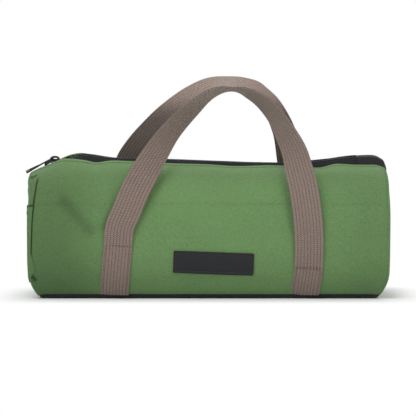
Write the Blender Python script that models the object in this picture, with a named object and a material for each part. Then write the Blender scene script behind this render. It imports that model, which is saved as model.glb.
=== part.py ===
"""Tool organizer bag: a canvas barrel bag with a zipped mouth and two webbing handles.

Metres, +Z up. X runs along the bag, -Y is its front, and the origin is on the ground
under the middle of the barrel. Every piece is drawn in world places from the sizes below.
"""
import math

import bmesh
import bpy
import numpy as np
from mathutils import Matrix, Vector

# Barrel: half of its length between the end seams, and its cross-section
seam_half_length = 0.236
barrel_half_depth = 0.090
belly_height = 0.085
barrel_top = 0.1855
base_tuck = 0.007
upper_roundness = 2.2
lower_roundness = 3.0
canvas_thickness = 0.0016
clearance = 0.0003
lower_reach = belly_height + base_tuck

# Base tray and the stiff board that lies in it
base_rim_height = 0.0047
base_floor = 0.0018
base_wall = 0.0018
board_thickness = 0.0024
board_play = 0.0008

# Corners: the barrel's ends slope down at the top and draw in at the bottom
left_slope_run = 0.0355
left_slope_drop = 0.0180
right_slope_run = 0.0165
right_slope_drop = 0.0130
bottom_corner_reach = 0.034
bottom_corner_inset = 0.012
end_bulge = 0.0078

# Mouth: the two zipped edges between the corners, each folding on its shoulder line
mouth_end_gap = 0.0005
right_corner_length = 0.0265
mouth_left = mouth_end_gap + left_slope_run - seam_half_length
mouth_right = seam_half_length - right_corner_length
shoulder_angle = math.radians(39.0)
shoulder_gap = 0.0004
mouth_half_gap = 0.0080

# Zip line: it rises and sags along the bag, one row a turning point: share of the way from the
# middle to an end seam, and share of the wave's height
top_wave = 0.0052
top_wave_share = (
    (-1.00, 0.15), (-0.84, 0.15), (-0.72, 1.00), (0.25, -1.00), (0.50, -0.90), (0.78, 0.15),
    (1.00, 0.15),
)

# Zip: tape, interlocking tooth rows and the stop at the right end
tape_thickness = 0.0008
tape_width = 0.0150
tape_to_bead = 0.0034
bead_back = 0.0031
bead_front = 0.0016
tooth_pitch = 0.0040
tooth_reach = 0.0009
tooth_neck = 0.0012
tooth_head = 0.0019
tooth_half_height = 0.0012
row_overrun = 0.0075
row_end_inset = 0.0090
row_left = mouth_left - row_overrun
row_right = mouth_right - row_end_inset
stop_length = 0.0040
stop_half_width = 0.0030
stop_half_height = 0.0016
zip_end_half_width = 0.0077
zip_end_recess = 0.0062

# Slider: two plates round the teeth, a wedge between them and a bail on top
slider_overrun = 0.0070
slider_x = mouth_left - slider_overrun
slider_length = 0.0150
slider_wide_half = 0.0056
slider_narrow_half = 0.0046
slider_plate = 0.0012
slider_inner_half = 0.0016
slider_flange = 0.0011
slider_slot_half = 0.0007
wedge_length = 0.0042
wedge_half_width = 0.0016
bail_length = 0.0140
bail_rise = 0.0050
bail_wire = 0.0012
bail_half_width = 0.0009

# Pull: a slotted tab that hangs from the bail by a cross bar
pull_length = 0.0370
pull_half_width = 0.0036
pull_thickness = 0.0015
pull_bar = 0.0013
pull_arm = 0.0014
pull_fork = 0.0150
pull_slot_end = 0.0045
pull_droop = math.radians(26.0)
pull_play = 0.00045

# Handles: one webbing strap on each side
webbing_width = 0.0381
webbing_thickness = 0.0019
strap_gap = 0.0005
strap_rest = 0.0005
front_left_foot_x = -0.1195
front_left_foot_height = 0.0680
front_right_foot_x = 0.1308
front_right_foot_height = 0.0390
back_left_foot_x = -0.1210
back_left_foot_height = 0.0600
back_right_foot_x = 0.1270
back_right_foot_height = 0.0540
tail_lean_left = 0.0055
tail_lean_right = 0.0045
front_rise = 0.2100
back_rise = 0.2289
front_lean_in = 0.0702
back_lean_in = 0.0712
front_apex_tilt = math.radians(4.0)
back_apex_tilt = math.radians(24.0)

# Handle routes, one row a point: share of the way from foot to foot, share of the rise above
# the line between the feet, and share of the lean from the foot in towards the other handle
front_route_share = (
    (0.000, 0.000, 0.000), (0.010, 0.130, -0.045), (0.045, 0.235, -0.060),
    (0.091, 0.375, -0.035), (0.145, 0.505, 0.045), (0.235, 0.693, 0.240),
    (0.316, 0.827, 0.450), (0.418, 0.957, 0.660), (0.503, 1.041, 0.850),
    (0.600, 1.083, 0.967), (0.674, 1.070, 0.913), (0.747, 1.030, 0.780),
    (0.821, 0.952, 0.576), (0.871, 0.858, 0.390), (0.922, 0.740, 0.185),
    (0.947, 0.636, 0.055), (0.971, 0.520, -0.060), (0.993, 0.340, -0.125),
    (1.002, 0.186, -0.100), (1.002, 0.081, -0.060), (1.000, 0.000, 0.000),
)
back_route_share = (
    (0.000, 0.000, 0.000), (0.006, 0.153, -0.048), (0.012, 0.297, -0.048),
    (0.021, 0.420, 0.036), (0.033, 0.516, 0.135), (0.090, 0.619, 0.260),
    (0.168, 0.723, 0.400), (0.247, 0.813, 0.540), (0.371, 0.923, 0.750),
    (0.493, 0.996, 0.917), (0.613, 1.016, 0.989), (0.729, 0.984, 0.915),
    (0.787, 0.935, 0.802), (0.848, 0.860, 0.647), (0.907, 0.733, 0.422),
    (0.939, 0.594, 0.225), (0.955, 0.488, 0.085), (0.974, 0.366, -0.028),
    (0.990, 0.236, -0.063), (0.998, 0.105, -0.049), (1.000, 0.000, 0.000),
)
# Twist of each strap: share of the height of its top, and share of the quarter turn
twist_share = (
    (0.00, 0.00), (0.50, 0.00), (0.56, 0.07), (0.64, 0.24), (0.74, 0.43), (0.80, 0.54),
    (0.87, 0.62), (0.925, 0.71), (0.968, 0.80), (0.99, 0.89), (1.00, 1.00),
)

# Patch on the front, left blank
patch_width = 0.1050
patch_height = 0.0285
patch_thickness = 0.0015
patch_x = 0.0060
patch_z = 0.0510
patch_turn = math.radians(-2.0)

# Pocket on the left end
pocket_thickness = 0.0012
pocket_top = 0.1195
pocket_foot = 0.0180
pocket_inset = 0.0060
pocket_gap = 0.0009

# Inside: bound seams, a flat pocket on the front wall and tool loops on the back wall
binding_width = 0.0065
binding_thickness = 0.0010
binding_sink = 0.0030
inner_pocket_half_length = 0.0900
inner_pocket_low = 0.0300
inner_pocket_high = 0.1050
inner_pocket_gape = 0.0095
loop_strip_low = 0.0760
loop_strip_high = 0.0980
loop_strip_half_length = 0.1500
loop_rise = 0.0090
loop_thickness = 0.0012
loop_count = 6

# Fineness of the curves
lower_steps = 6
upper_steps = 5
mouth_steps = 7
wave_steps = 14
dome_ring_share = (0.0, 0.14, 0.34, 0.62)
steps_a_route_point = 3

FRONT = -1.0
BACK = 1.0

# Stitched ends of the handles' free parts: place along the bag and height
front_foot_left = (front_left_foot_x, front_left_foot_height)
front_foot_right = (front_right_foot_x, front_right_foot_height)
back_foot_left = (back_left_foot_x, back_left_foot_height)
back_foot_right = (back_right_foot_x, back_right_foot_height)


def clear_scene():
    for old in list(bpy.data.objects):
        bpy.data.objects.remove(old, do_unlink=True)


def finish(name, colour, roughness, metallic=0.0):
    """One Principled material under the node's own name."""
    material = bpy.data.materials.new(name + "_finish")
    material.use_nodes = True
    shader = material.node_tree.nodes["Principled BSDF"]
    shader.inputs["Base Color"].default_value = (*colour, 1.0)
    shader.inputs["Roughness"].default_value = roughness
    shader.inputs["Metallic"].default_value = metallic
    material.diffuse_color = (*colour, 1.0)
    return material


def canvas_finish(name):
    return finish(name, (0.14, 0.26, 0.10), 0.85)


def webbing_finish(name):
    return finish(name, (0.22, 0.17, 0.14), 0.80)


def black_cloth_finish(name):
    return finish(name, (0.014, 0.014, 0.018), 0.75)


def leather_finish(name):
    return finish(name, (0.027, 0.028, 0.031), 0.50)


def tooth_finish(name):
    return finish(name, (0.016, 0.016, 0.018), 0.40)


def metal_finish(name):
    return finish(name, (0.030, 0.030, 0.034), 0.30, 0.9)


def board_finish(name):
    return finish(name, (0.030, 0.030, 0.030), 0.60)


def add_piece(name, bm, material, origin=(0.0, 0.0, 0.0), parent=None):
    """Turns world-placed geometry into an object whose origin is the given point."""
    bm.transform(Matrix.Translation(-Vector(origin)))
    mesh = bpy.data.meshes.new(name)
    bm.to_mesh(mesh)
    bm.free()
    mesh.materials.append(material)
    piece = bpy.data.objects.new(name, mesh)
    bpy.context.scene.collection.objects.link(piece)
    piece.location = origin
    if parent is not None:
        piece.location = Vector(origin) - parent.location
        piece.parent = parent
    return piece


def add_empty(name, place):
    empty = bpy.data.objects.new(name, None)
    bpy.context.scene.collection.objects.link(empty)
    empty.location = place
    return empty


def grid_mesh(rows, keep=None, close_rows=False):
    """A quad surface over rows of points; keep(row, column) leaves faces out."""
    bm = bmesh.new()
    verts = [[bm.verts.new(point) for point in row] for row in rows]
    for i in range(len(rows) - 1):
        columns = len(rows[i]) if close_rows else len(rows[i]) - 1
        for j in range(columns):
            if keep is not None and not keep(i, j):
                continue
            k = (j + 1) % len(rows[i])
            bm.faces.new((verts[i][j], verts[i][k], verts[i + 1][k], verts[i + 1][j]))
    loose = [vert for vert in bm.verts if not vert.link_faces]
    bmesh.ops.delete(bm, geom=loose, context="VERTS")
    return bm


def point_faces(bm, away_from):
    """Makes an open surface face away from a point inside it."""
    bmesh.ops.recalc_face_normals(bm, faces=bm.faces)
    bm.faces.ensure_lookup_table()
    bm.normal_update()
    score = sum(face.normal.dot(face.calc_center_median() - away_from) * face.calc_area()
                for face in bm.faces)
    if score < 0.0:
        bmesh.ops.reverse_faces(bm, faces=bm.faces)


def add_shell(name, bm, thickness, material, origin=(0.0, 0.0, 0.0), parent=None,
              centre=None, inward=True):
    """A sheet of even thickness, grown inwards from its outer face or outwards from its inner."""
    point_faces(bm, Vector(centre) if centre else Vector((0.0, 0.0, belly_height)))
    piece = add_piece(name, bm, material, origin, parent)
    solid = piece.modifiers.new("thickness", "SOLIDIFY")
    solid.thickness = thickness
    solid.offset = -1.0 if inward else 1.0
    solid.use_even_offset = True
    return piece


def prism(outline, low, high, axis_order="xyz"):
    """An outline in two axes, extruded along the third; axis_order names outline x, y, then run."""
    place = {"xyz": lambda a, b, c: (a, b, c), "xzy": lambda a, b, c: (a, c, b)}[axis_order]
    bm = bmesh.new()
    face = bm.faces.new([bm.verts.new(place(a, b, low)) for a, b in outline])
    grown = bmesh.ops.extrude_face_region(bm, geom=[face])
    moved = [item for item in grown["geom"] if isinstance(item, bmesh.types.BMVert)]
    bmesh.ops.translate(bm, verts=moved, vec=Vector(place(0.0, 0.0, high - low)))
    bmesh.ops.recalc_face_normals(bm, faces=bm.faces)
    return bm


def join_solids(target, tools):
    """Unites solids with exact Booleans and removes the tools."""
    for tool in tools:
        union = target.modifiers.new("join", "BOOLEAN")
        union.operation = "UNION"
        union.solver = "EXACT"
        union.object = tool
        tool.hide_render = True
        tool.display_type = "WIRE"


def add_guide(name, bm, origin=(0.0, 0.0, 0.0)):
    """A body that only a Boolean uses."""
    bm.transform(Matrix.Translation(-Vector(origin)))
    mesh = bpy.data.meshes.new(name)
    bm.to_mesh(mesh)
    bm.free()
    guide = bpy.data.objects.new(name, mesh)
    bpy.context.scene.collection.objects.link(guide)
    guide.location = origin
    guide.hide_render = True
    guide.display_type = "WIRE"
    return guide


def upper_point(angle):
    """Depth and height of the barrel's outer skin above the belly."""
    power = 2.0 / upper_roundness
    depth = barrel_half_depth * max(math.cos(angle), 0.0) ** power
    height = belly_height + (barrel_top - belly_height) * math.sin(angle) ** power
    return depth, height


def lower_point(angle):
    """Depth and height of the skin below the belly."""
    power = 2.0 / lower_roundness
    depth = barrel_half_depth * math.cos(angle) ** power
    height = belly_height - lower_reach * math.sin(angle) ** power
    return depth, height


def lower_angle(height):
    return math.asin(((belly_height - height) / lower_reach) ** (lower_roundness / 2.0))


def upper_angle(depth):
    return math.acos((depth / barrel_half_depth) ** (upper_roundness / 2.0))


def skin_depth(height):
    """Depth of the outer skin at a height."""
    if height < belly_height:
        return lower_point(lower_angle(height))[0]
    rise = (height - belly_height) / (barrel_top - belly_height)
    return upper_point(math.asin(rise ** (upper_roundness / 2.0)))[0]


def spread(first, last, steps):
    return [first + (last - first) * i / steps for i in range(steps + 1)]


def wall_profile():
    """Skin points from the base seam up to the shoulder line."""
    seam = lower_angle(base_rim_height + clearance)
    points = [lower_point(angle) for angle in spread(seam, 0.0, lower_steps)]
    points += [upper_point(angle) for angle in spread(0.0, shoulder_angle, upper_steps)[1:]]
    return points


def mouth_profile(start):
    """Skin points from an angle at the shoulder up to the zip's hem."""
    return [upper_point(angle) for angle in spread(start, upper_angle(mouth_half_gap), mouth_steps)]


def offset_profile(points, inset):
    """Moves a profile inwards, square to itself."""
    moved = []
    for i, (depth, height) in enumerate(points):
        before = points[max(i - 1, 0)]
        after = points[min(i + 1, len(points) - 1)]
        run = Vector((after[0] - before[0], after[1] - before[1])).normalized()
        moved.append((depth - run.y * inset, height + run.x * inset))
    return moved


def beside_skin(height, inset):
    """Depth at a height of a face that runs a distance inside (or, if negative, outside) the skin."""
    profile = offset_profile(wall_profile() + mouth_profile(shoulder_angle)[1:], inset)
    return float(np.interp(height, [point[1] for point in profile], [point[0] for point in profile]))


def rise_share(height):
    """How far up from the belly to the barrel's top a height lies."""
    return max(height - belly_height, 0.0) / (barrel_top - belly_height)


def slope_drop(x, height):
    """How far the top has dropped at the barrel's ends."""
    share = 0.0
    drop = 0.0
    left_start = mouth_left - mouth_end_gap
    right_start = seam_half_length - right_slope_run
    if x < left_start:
        share = (left_start - x) / left_slope_run
        drop = left_slope_drop
    elif x > right_start:
        share = (x - right_start) / right_slope_run
        drop = right_slope_drop
    return drop * share ** 2 * rise_share(height) ** 2


def seam_x(height):
    """Half length to the end seam, drawn in at the bottom corner."""
    share = max(bottom_corner_reach - height, 0.0) / bottom_corner_reach
    return seam_half_length - bottom_corner_inset * share ** 2


def wave_at(x):
    """How far the zip's line stands above (or, if negative, below) its mean height."""
    place = min(max(x / seam_half_length, -1.0), 1.0)
    for (start, first), (end, last) in zip(top_wave_share, top_wave_share[1:]):
        if place <= end:
            t = (place - start) / (end - start)
            return top_wave * (first + (last - first) * t * t * (3.0 - 2.0 * t))
    return top_wave * top_wave_share[-1][1]


def lifted(x, height):
    """Height of a skin point once the ends slope down and the zip's line waves."""
    shoulder = upper_point(shoulder_angle)[1]
    weight = max(height - shoulder, 0.0) / (barrel_top - shoulder)
    return height - slope_drop(x, height) + wave_at(x) * weight ** 1.5


def skin_point(side, x, depth, height):
    return Vector((x, side * depth, lifted(x, height)))


def wall_stations(height):
    """Places along X of one row of wall points, from seam to seam."""
    left = mouth_left - mouth_end_gap
    right = mouth_right + mouth_end_gap
    end = seam_x(height)
    ends_left = spread(-end, left, 3)
    middle = spread(left, right, 4)[1:-1]
    ends_right = spread(right, end, 3)
    return ends_left + middle + ends_right


def add_wall(name, side):
    """One canvas side with its two ears, which rise beside the zip at the corners."""
    profile = wall_profile() + mouth_profile(shoulder_angle)[1:]
    rows = [[skin_point(side, x, depth, height) for x in wall_stations(height)]
            for depth, height in profile]
    shoulder_row = lower_steps + upper_steps
    columns = len(rows[0]) - 1

    def is_cloth(row, column):
        return row < shoulder_row or column < 3 or column >= columns - 3

    return add_shell(name, grid_mesh(rows, is_cloth), canvas_thickness, canvas_finish(name))


def shoulder_place(side):
    depth, height = upper_point(shoulder_angle)
    return Vector((0.0, side * depth, height))


def add_mouth_edge(name, side, hinge):
    """The strip of canvas between the shoulder line and the zip."""
    start = shoulder_angle + shoulder_gap / barrel_half_depth
    stations = spread(mouth_left, mouth_right, wave_steps)
    rows = [[skin_point(side, x, depth, height) for x in stations]
            for depth, height in mouth_profile(start)]
    add_shell(name, grid_mesh(rows), canvas_thickness, canvas_finish(name),
              hinge.location, hinge)


def tape_height(x, depth):
    """Height of the tape's upper face, under the canvas hem, and level past the mouth's ends."""
    x = min(max(x, mouth_left), mouth_right)
    return lifted(x, upper_point(upper_angle(depth))[1]) - canvas_thickness - clearance


def chain_height(x):
    """Height of the teeth's middle."""
    return tape_height(x, bead_back) - tape_thickness / 2.0


def add_tape(name, side, hinge):
    depths = spread(tape_width + clearance, tape_to_bead, 3)
    rows = [[Vector((x, side * depth, tape_height(x, depth)))
             for x in spread(mouth_left, mouth_right, wave_steps)] for depth in depths]
    add_shell(name, grid_mesh(rows), tape_thickness, black_cloth_finish(name),
              hinge.location, hinge)


def comb_mesh(side, first_x, count):
    """A bead with dovetailed teeth that reach past the middle, bent along the zip's line."""
    back = side * bead_back
    front = side * bead_front
    tip = -side * tooth_reach
    neck = tooth_neck / 2.0
    head = tooth_head / 2.0
    places = [row_left, row_right]
    places += [first_x + tooth_pitch * i + half for i in range(count) for half in (-neck, neck)]
    places.sort()
    bm = bmesh.new()
    bead = [[bm.verts.new((x, y, chain_height(x))) for y in (back, front)] for x in places]
    for left, right in zip(bead, bead[1:]):
        bm.faces.new((left[0], right[0], right[1], left[1]))
    for i in range(count):
        left, right = bead[2 * i + 1][1], bead[2 * i + 2][1]
        middle = first_x + tooth_pitch * i
        tips = [bm.verts.new((x, tip, chain_height(x))) for x in (middle + head, middle - head)]
        bm.faces.new((left, right, *tips))
    bmesh.ops.recalc_face_normals(bm, faces=bm.faces)
    grown = bmesh.ops.extrude_face_region(bm, geom=list(bm.faces), use_keep_orig=True)
    upper = [item for item in grown["geom"] if isinstance(item, bmesh.types.BMVert)]
    bmesh.ops.translate(bm, verts=bm.verts, vec=Vector((0.0, 0.0, -tooth_half_height)))
    bmesh.ops.translate(bm, verts=upper, vec=Vector((0.0, 0.0, 2.0 * tooth_half_height)))
    bmesh.ops.recalc_face_normals(bm, faces=bm.faces)
    return bm


def add_teeth(name, side, hinge):
    """One row; the back row sits half a pitch further, so the heads pass between each other."""
    count = int((row_right - row_left) / tooth_pitch) - 1
    start = row_left + tooth_pitch / 2.0
    if side == BACK:
        start += tooth_pitch / 2.0
    add_piece(name, comb_mesh(side, start, count), tooth_finish(name), hinge.location, hinge)


def add_zip_end(name, sign):
    """Tape that carries the zip on over a top corner to the end seam."""
    hem_height = upper_point(upper_angle(mouth_half_gap))[1]
    if sign < 0.0:
        first = mouth_left - mouth_end_gap
        recess = zip_end_recess
    else:
        first = mouth_right + mouth_end_gap
        recess = canvas_thickness
    rows = []
    steps = 5
    for i, x in enumerate(spread(first, sign * seam_half_length, steps)):
        sink = canvas_thickness / 4.0 + recess * (1.0 - i / steps)
        height = lifted(x, hem_height) - sink
        rows.append([Vector((x, y, height)) for y in spread(-zip_end_half_width,
                                                             zip_end_half_width, 2)])
    add_shell(name, grid_mesh(rows), tape_thickness, black_cloth_finish(name))


def add_zip_stop(name):
    """Metal stop that clasps the zip where the teeth end on the right."""
    left = row_right + clearance
    middle = chain_height(left)
    outline = [(left, -stop_half_width), (left + stop_length, -stop_half_width),
               (left + stop_length, stop_half_width), (left, stop_half_width)]
    bm = prism(outline, middle - stop_half_height, middle + stop_half_height)
    edges = [edge for edge in bm.edges if abs(edge.verts[0].co.x - edge.verts[1].co.x) > 0.0]
    bmesh.ops.bevel(bm, geom=edges, offset=stop_half_height / 3.0, segments=1, affect="EDGES")
    add_piece(name, bm, metal_finish(name))


def slider_outline():
    """Plan of a slider plate: wide where the rows part, narrow where they close."""
    left = slider_x - slider_length / 2.0
    right = slider_x + slider_length / 2.0
    shoulder = slider_x + slider_length / 8.0
    nose = slider_wide_half / 2.0
    half = [(left, 0.0), (left + nose / 3.0, nose), (left + nose, slider_wide_half),
            (slider_x, slider_wide_half), (shoulder, slider_narrow_half),
            (right - nose / 3.0, slider_narrow_half), (right, slider_narrow_half - nose / 3.0)]
    mirrored = [(x, -y) for x, y in reversed(half) if y > 0.0]
    return half + mirrored


def slider_flanges(side, low, high):
    """Side wall that folds from a plate towards the tape."""
    inner = slider_narrow_half - slider_flange
    outline = [(slider_x + slider_length / 8.0, side * inner),
               (slider_x + slider_length / 2.0 - slider_flange, side * inner),
               (slider_x + slider_length / 2.0 - slider_flange, side * slider_narrow_half),
               (slider_x + slider_length / 8.0, side * slider_narrow_half)]
    if side < 0.0:
        outline.reverse()
    return prism(outline, low, high)


def bail_mesh(top):
    """Arch in the middle plane, open below so that the pull's bar lies in it."""
    left = slider_x - bail_length / 2.0
    right = slider_x + bail_length / 2.0
    sink = slider_plate / 2.0
    low = top - sink
    corner = bail_rise / 3.0
    outer = [(left, low), (left, top + bail_rise - corner), (left + corner, top + bail_rise),
             (right - corner, top + bail_rise), (right, top + bail_rise - corner), (right, low)]
    inner = [(right - bail_wire, low), (right - bail_wire, top + bail_rise - corner),
             (right - corner, top + bail_rise - bail_wire),
             (left + corner, top + bail_rise - bail_wire),
             (left + bail_wire, top + bail_rise - corner), (left + bail_wire, low)]
    return prism(outer + inner, -bail_half_width, bail_half_width, "xzy")


def wedge_mesh(low, high):
    """Diamond that parts the two rows at the slider's mouth."""
    left = slider_x - slider_length / 2.0 + clearance
    middle = left + wedge_length / 3.0
    outline = [(left, 0.0), (middle, -wedge_half_width), (left + wedge_length, 0.0),
               (middle, wedge_half_width)]
    return prism(outline, low, high)


def add_slider(name):
    middle = chain_height(slider_x)
    inner = slider_inner_half
    outer = slider_inner_half + slider_plate
    origin = Vector((slider_x, 0.0, middle))
    outline = slider_outline()
    slider = add_piece(name, prism(outline, middle + inner, middle + outer),
                       metal_finish(name), origin)
    sink = slider_plate / 2.0
    tools = [
        add_guide("slider_lower_plate", prism(outline, middle - outer, middle - inner), origin),
        add_guide("slider_wedge", wedge_mesh(middle - inner - sink, middle + inner + sink), origin),
        add_guide("slider_bail", bail_mesh(middle + outer), origin),
    ]
    for side in (FRONT, BACK):
        for low, high in ((middle + slider_slot_half, middle + inner + sink),
                          (middle - inner - sink, middle - slider_slot_half)):
            tag = "front" if side == FRONT else "back"
            label = "slider_flange_" + tag + ("_top" if low > middle else "_low")
            tools.append(add_guide(label, slider_flanges(side, low, high), origin))
    join_solids(slider, tools)
    return slider


def pull_hinge():
    """Middle of the pull's cross bar, inside the bail's left corner."""
    top = chain_height(slider_x) + slider_inner_half + slider_plate
    x = slider_x - bail_length / 2.0 + bail_wire + pull_bar / 2.0 + clearance
    return Vector((x, 0.0, top + bail_rise - bail_wire - pull_bar / 2.0 - pull_play))


def add_pull(name):
    """Slotted tab: a cross bar in the bail, two arms beside it and a rounded end."""
    hinge = pull_hinge()
    bar = pull_bar / 2.0
    far = pull_length
    near = pull_fork
    arm_in = bail_half_width + clearance * 2.0
    arm_out = arm_in + pull_arm
    tip = pull_half_width / 2.0
    outer = [(bar, -arm_out), (bar, arm_out), (-near, arm_out),
             (-near - tip, pull_half_width), (-far + tip, pull_half_width),
             (-far, tip), (-far, -tip), (-far + tip, -pull_half_width),
             (-near - tip, -pull_half_width), (-near, -arm_out)]
    slots = (
        [(-bar, -arm_in), (-bar, arm_in), (-near + arm_in, arm_in), (-near, 0.0),
         (-near + arm_in, -arm_in)],
        [(-near - pull_arm * 2.0, 0.0), (-near - pull_arm * 3.0, arm_in),
         (-far + pull_slot_end, arm_in), (-far + pull_slot_end - arm_in, 0.0),
         (-far + pull_slot_end, -arm_in), (-near - pull_arm * 3.0, -arm_in)],
    )
    half = pull_thickness / 2.0
    turn = Matrix.Rotation(-pull_droop, 4, "Y")
    body = prism(outer, -half, half)
    body.transform(turn)
    body.transform(Matrix.Translation(hinge))
    pull = add_piece(name, body, metal_finish(name), hinge)
    for number, slot in enumerate(slots):
        cut = prism(slot, -pull_thickness, pull_thickness)
        cut.transform(turn)
        cut.transform(Matrix.Translation(hinge))
        tool = add_guide("pull_slot_%d" % number, cut, hinge)
        difference = pull.modifiers.new("slot", "BOOLEAN")
        difference.operation = "DIFFERENCE"
        difference.solver = "EXACT"
        difference.object = tool
    return pull


def full_outline():
    """Right half of the end seam's ring, from the middle of the base up to the middle of the top."""
    seam_depth = lower_point(lower_angle(base_rim_height + clearance))[0]
    base = [(0.0, base_rim_height / 2.0), (seam_depth / 2.0, base_rim_height / 2.0)]
    side = wall_profile() + mouth_profile(shoulder_angle)[1:]
    return base + side + [(0.0, side[-1][1])]


def seam_ring(sign, outline, outset=0.0):
    """Closed ring of points at an end seam."""
    ring = []
    for depth, height in outline:
        x = sign * (seam_x(height) + outset)
        drop_x = sign * min(abs(x), seam_half_length)
        ring.append(Vector((x, depth, lifted(drop_x, height))))
    mirrored = [Vector((point.x, -point.y, point.z)) for point in reversed(ring[1:-1])]
    return ring + mirrored


def dome_rise(reach):
    """How far the end panel stands out at a share of the way from its centre to its seam."""
    return end_bulge * (1.0 - reach ** 4)


def end_centre(sign):
    return Vector((sign * seam_half_length, 0.0, belly_height))


def dome_rows(sign):
    """Rings of the end panel from its seam to near its centre."""
    ring = seam_ring(sign, full_outline(), canvas_thickness + clearance)
    centre = end_centre(sign)
    rows = []
    for share in dome_ring_share:
        reach = 1.0 - share
        row = []
        for point in ring:
            spot = centre + (point - centre) * reach
            spot.x += sign * dome_rise(reach)
            row.append(spot)
        rows.append(row)
    return rows


def add_end_panel(name, sign):
    rows = dome_rows(sign)
    bm = grid_mesh(rows, close_rows=True)
    loop = [edge for edge in bm.edges if edge.is_boundary and
            all(min((vert.co - point).length for point in rows[-1]) < clearance / 10.0
                for vert in edge.verts)]
    middle = bm.verts.new(end_centre(sign) + Vector((sign * end_bulge, 0.0, 0.0)) +
                          Vector((sign * (canvas_thickness + clearance), 0.0, 0.0)))
    for edge in loop:
        bm.faces.new((edge.verts[0], edge.verts[1], middle))
    bmesh.ops.recalc_face_normals(bm, faces=bm.faces)
    add_shell(name, bm, canvas_thickness, canvas_finish(name))


def dome_x(sign, depth, height):
    """X of the end panel's outer face at a place in its plane."""
    centre = Vector((0.0, belly_height))
    spot = Vector((abs(depth), height)) - centre
    if height >= belly_height:
        edge = upper_reach(spot)
    else:
        edge = lower_reach_to(spot)
    reach = min(spot.length / max(edge, clearance), 1.0)
    seam = seam_x(max(belly_height - (belly_height - height) / max(reach, clearance),
                      base_rim_height)) if height < belly_height else seam_half_length
    flat = canvas_thickness + clearance
    return sign * ((seam + flat) * reach + (seam_half_length + flat) * (1.0 - reach)
                   + dome_rise(reach))


def upper_reach(spot):
    """Distance from the belly's middle to the skin along a direction above it."""
    a = abs(spot.x) / barrel_half_depth
    b = abs(spot.y) / (barrel_top - belly_height)
    size = (a ** upper_roundness + b ** upper_roundness) ** (1.0 / upper_roundness)
    return spot.length / max(size, clearance)


def lower_reach_to(spot):
    """The same below the belly, cut off by the base."""
    a = abs(spot.x) / barrel_half_depth
    b = abs(spot.y) / lower_reach
    size = (a ** lower_roundness + b ** lower_roundness) ** (1.0 / lower_roundness)
    base = abs(spot.y) / (belly_height - base_rim_height / 2.0)
    return spot.length / max(size, base, clearance)


def add_end_pocket(name, sign):
    """Patch pocket sewn on the end panel, open along its upper hem."""
    rows = []
    for height in spread(pocket_foot, pocket_top, 10):
        depth = skin_depth(height) - pocket_inset
        row = []
        for y in spread(-depth, depth, 12):
            x = dome_x(sign, y, height) + sign * pocket_gap
            row.append(Vector((x, y, height)))
        rows.append(row)
    add_shell(name, grid_mesh(rows), pocket_thickness, canvas_finish(name), inward=False)


def add_binding(name, sign):
    """Tape that binds the end seam's raw edges inside the bag."""
    inset = canvas_thickness + clearance
    outline = offset_profile(wall_profile() + mouth_profile(shoulder_angle)[1:], inset)
    outline = [(depth, height - binding_sink * rise_share(height) ** 2)
               for depth, height in outline]
    floor = base_floor + board_thickness + board_play + clearance * 3.0
    outline = [point for point in outline if point[1] > floor * 1.2]
    outline = [(0.0, floor), (outline[0][0] / 2.0, floor)] + outline
    outline.append((0.0, outline[-1][1]))
    rows = [seam_ring(sign, outline, -clearance * 2.0),
            seam_ring(sign, outline, -clearance * 2.0 - binding_width)]
    add_shell(name, grid_mesh(rows, close_rows=True), binding_thickness,
              black_cloth_finish(name))


def base_halves():
    """Half length and half depth of the base, inside the end panels and under the walls."""
    half_length = seam_x(base_rim_height / 2.0) - clearance
    return half_length, lower_point(lower_angle(base_rim_height + clearance))[0]


def rounded_plate(half_length, half_depth, steps):
    """Outline of a plate with rounded corners."""
    corner = half_depth / 6.0
    outline = []
    for quarter, (sign_x, sign_y) in enumerate(((1, 1), (-1, 1), (-1, -1), (1, -1))):
        start = quarter * math.pi / 2.0
        for angle in spread(start, start + math.pi / 2.0, steps):
            outline.append((sign_x * (half_length - corner) + corner * math.cos(angle),
                            sign_y * (half_depth - corner) + corner * math.sin(angle)))
    return outline


def add_base_tray(name):
    """Black base: a floor with a low rim that meets the canvas."""
    half_length, half_depth = base_halves()
    bm = prism(rounded_plate(half_length, half_depth, 3), 0.0, base_rim_height)
    top = max(bm.faces, key=lambda face: face.calc_center_median().z)
    bmesh.ops.inset_individual(bm, faces=[top], thickness=base_wall, use_even_offset=True)
    bmesh.ops.translate(bm, verts=top.verts, vec=Vector((0.0, 0.0, base_floor - base_rim_height)))
    foot = [edge for edge in bm.edges if all(vert.co.z == 0.0 for vert in edge.verts)]
    bmesh.ops.bevel(bm, geom=foot, offset=base_floor / 2.0, segments=2, affect="EDGES",
                    clamp_overlap=True)
    add_piece(name, bm, black_cloth_finish(name))


def add_base_board(name):
    half_length, half_depth = (half - base_wall - board_play for half in base_halves())
    low = base_floor + clearance
    bm = prism(rounded_plate(half_length, half_depth, 2), low, low + board_thickness)
    add_piece(name, bm, board_finish(name))


def smooth_route(points, steps):
    """Catmull-Rom curve through points, with a number of steps between each pair."""
    points = [np.array(point, float) for point in points]
    ends = [2.0 * points[0] - points[1]] + points + [2.0 * points[-1] - points[-2]]
    route = []
    for i in range(1, len(ends) - 2):
        a, b, c, d = ends[i - 1:i + 3]
        for step in range(steps):
            t = step / steps
            route.append(0.5 * (2.0 * b + (c - a) * t + (2.0 * a - 5.0 * b + 4.0 * c - d) * t ** 2
                                + (3.0 * b - a - 3.0 * c + d) * t ** 3))
    route.append(points[-1])
    return route


def strap_seat(height):
    """Depth of a strap's middle where it lies on the canvas."""
    return beside_skin(height, -(strap_rest + webbing_thickness / 2.0))


def strap_foot(side, foot):
    x, height = foot
    return Vector((x, side * strap_seat(height), height))


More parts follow.
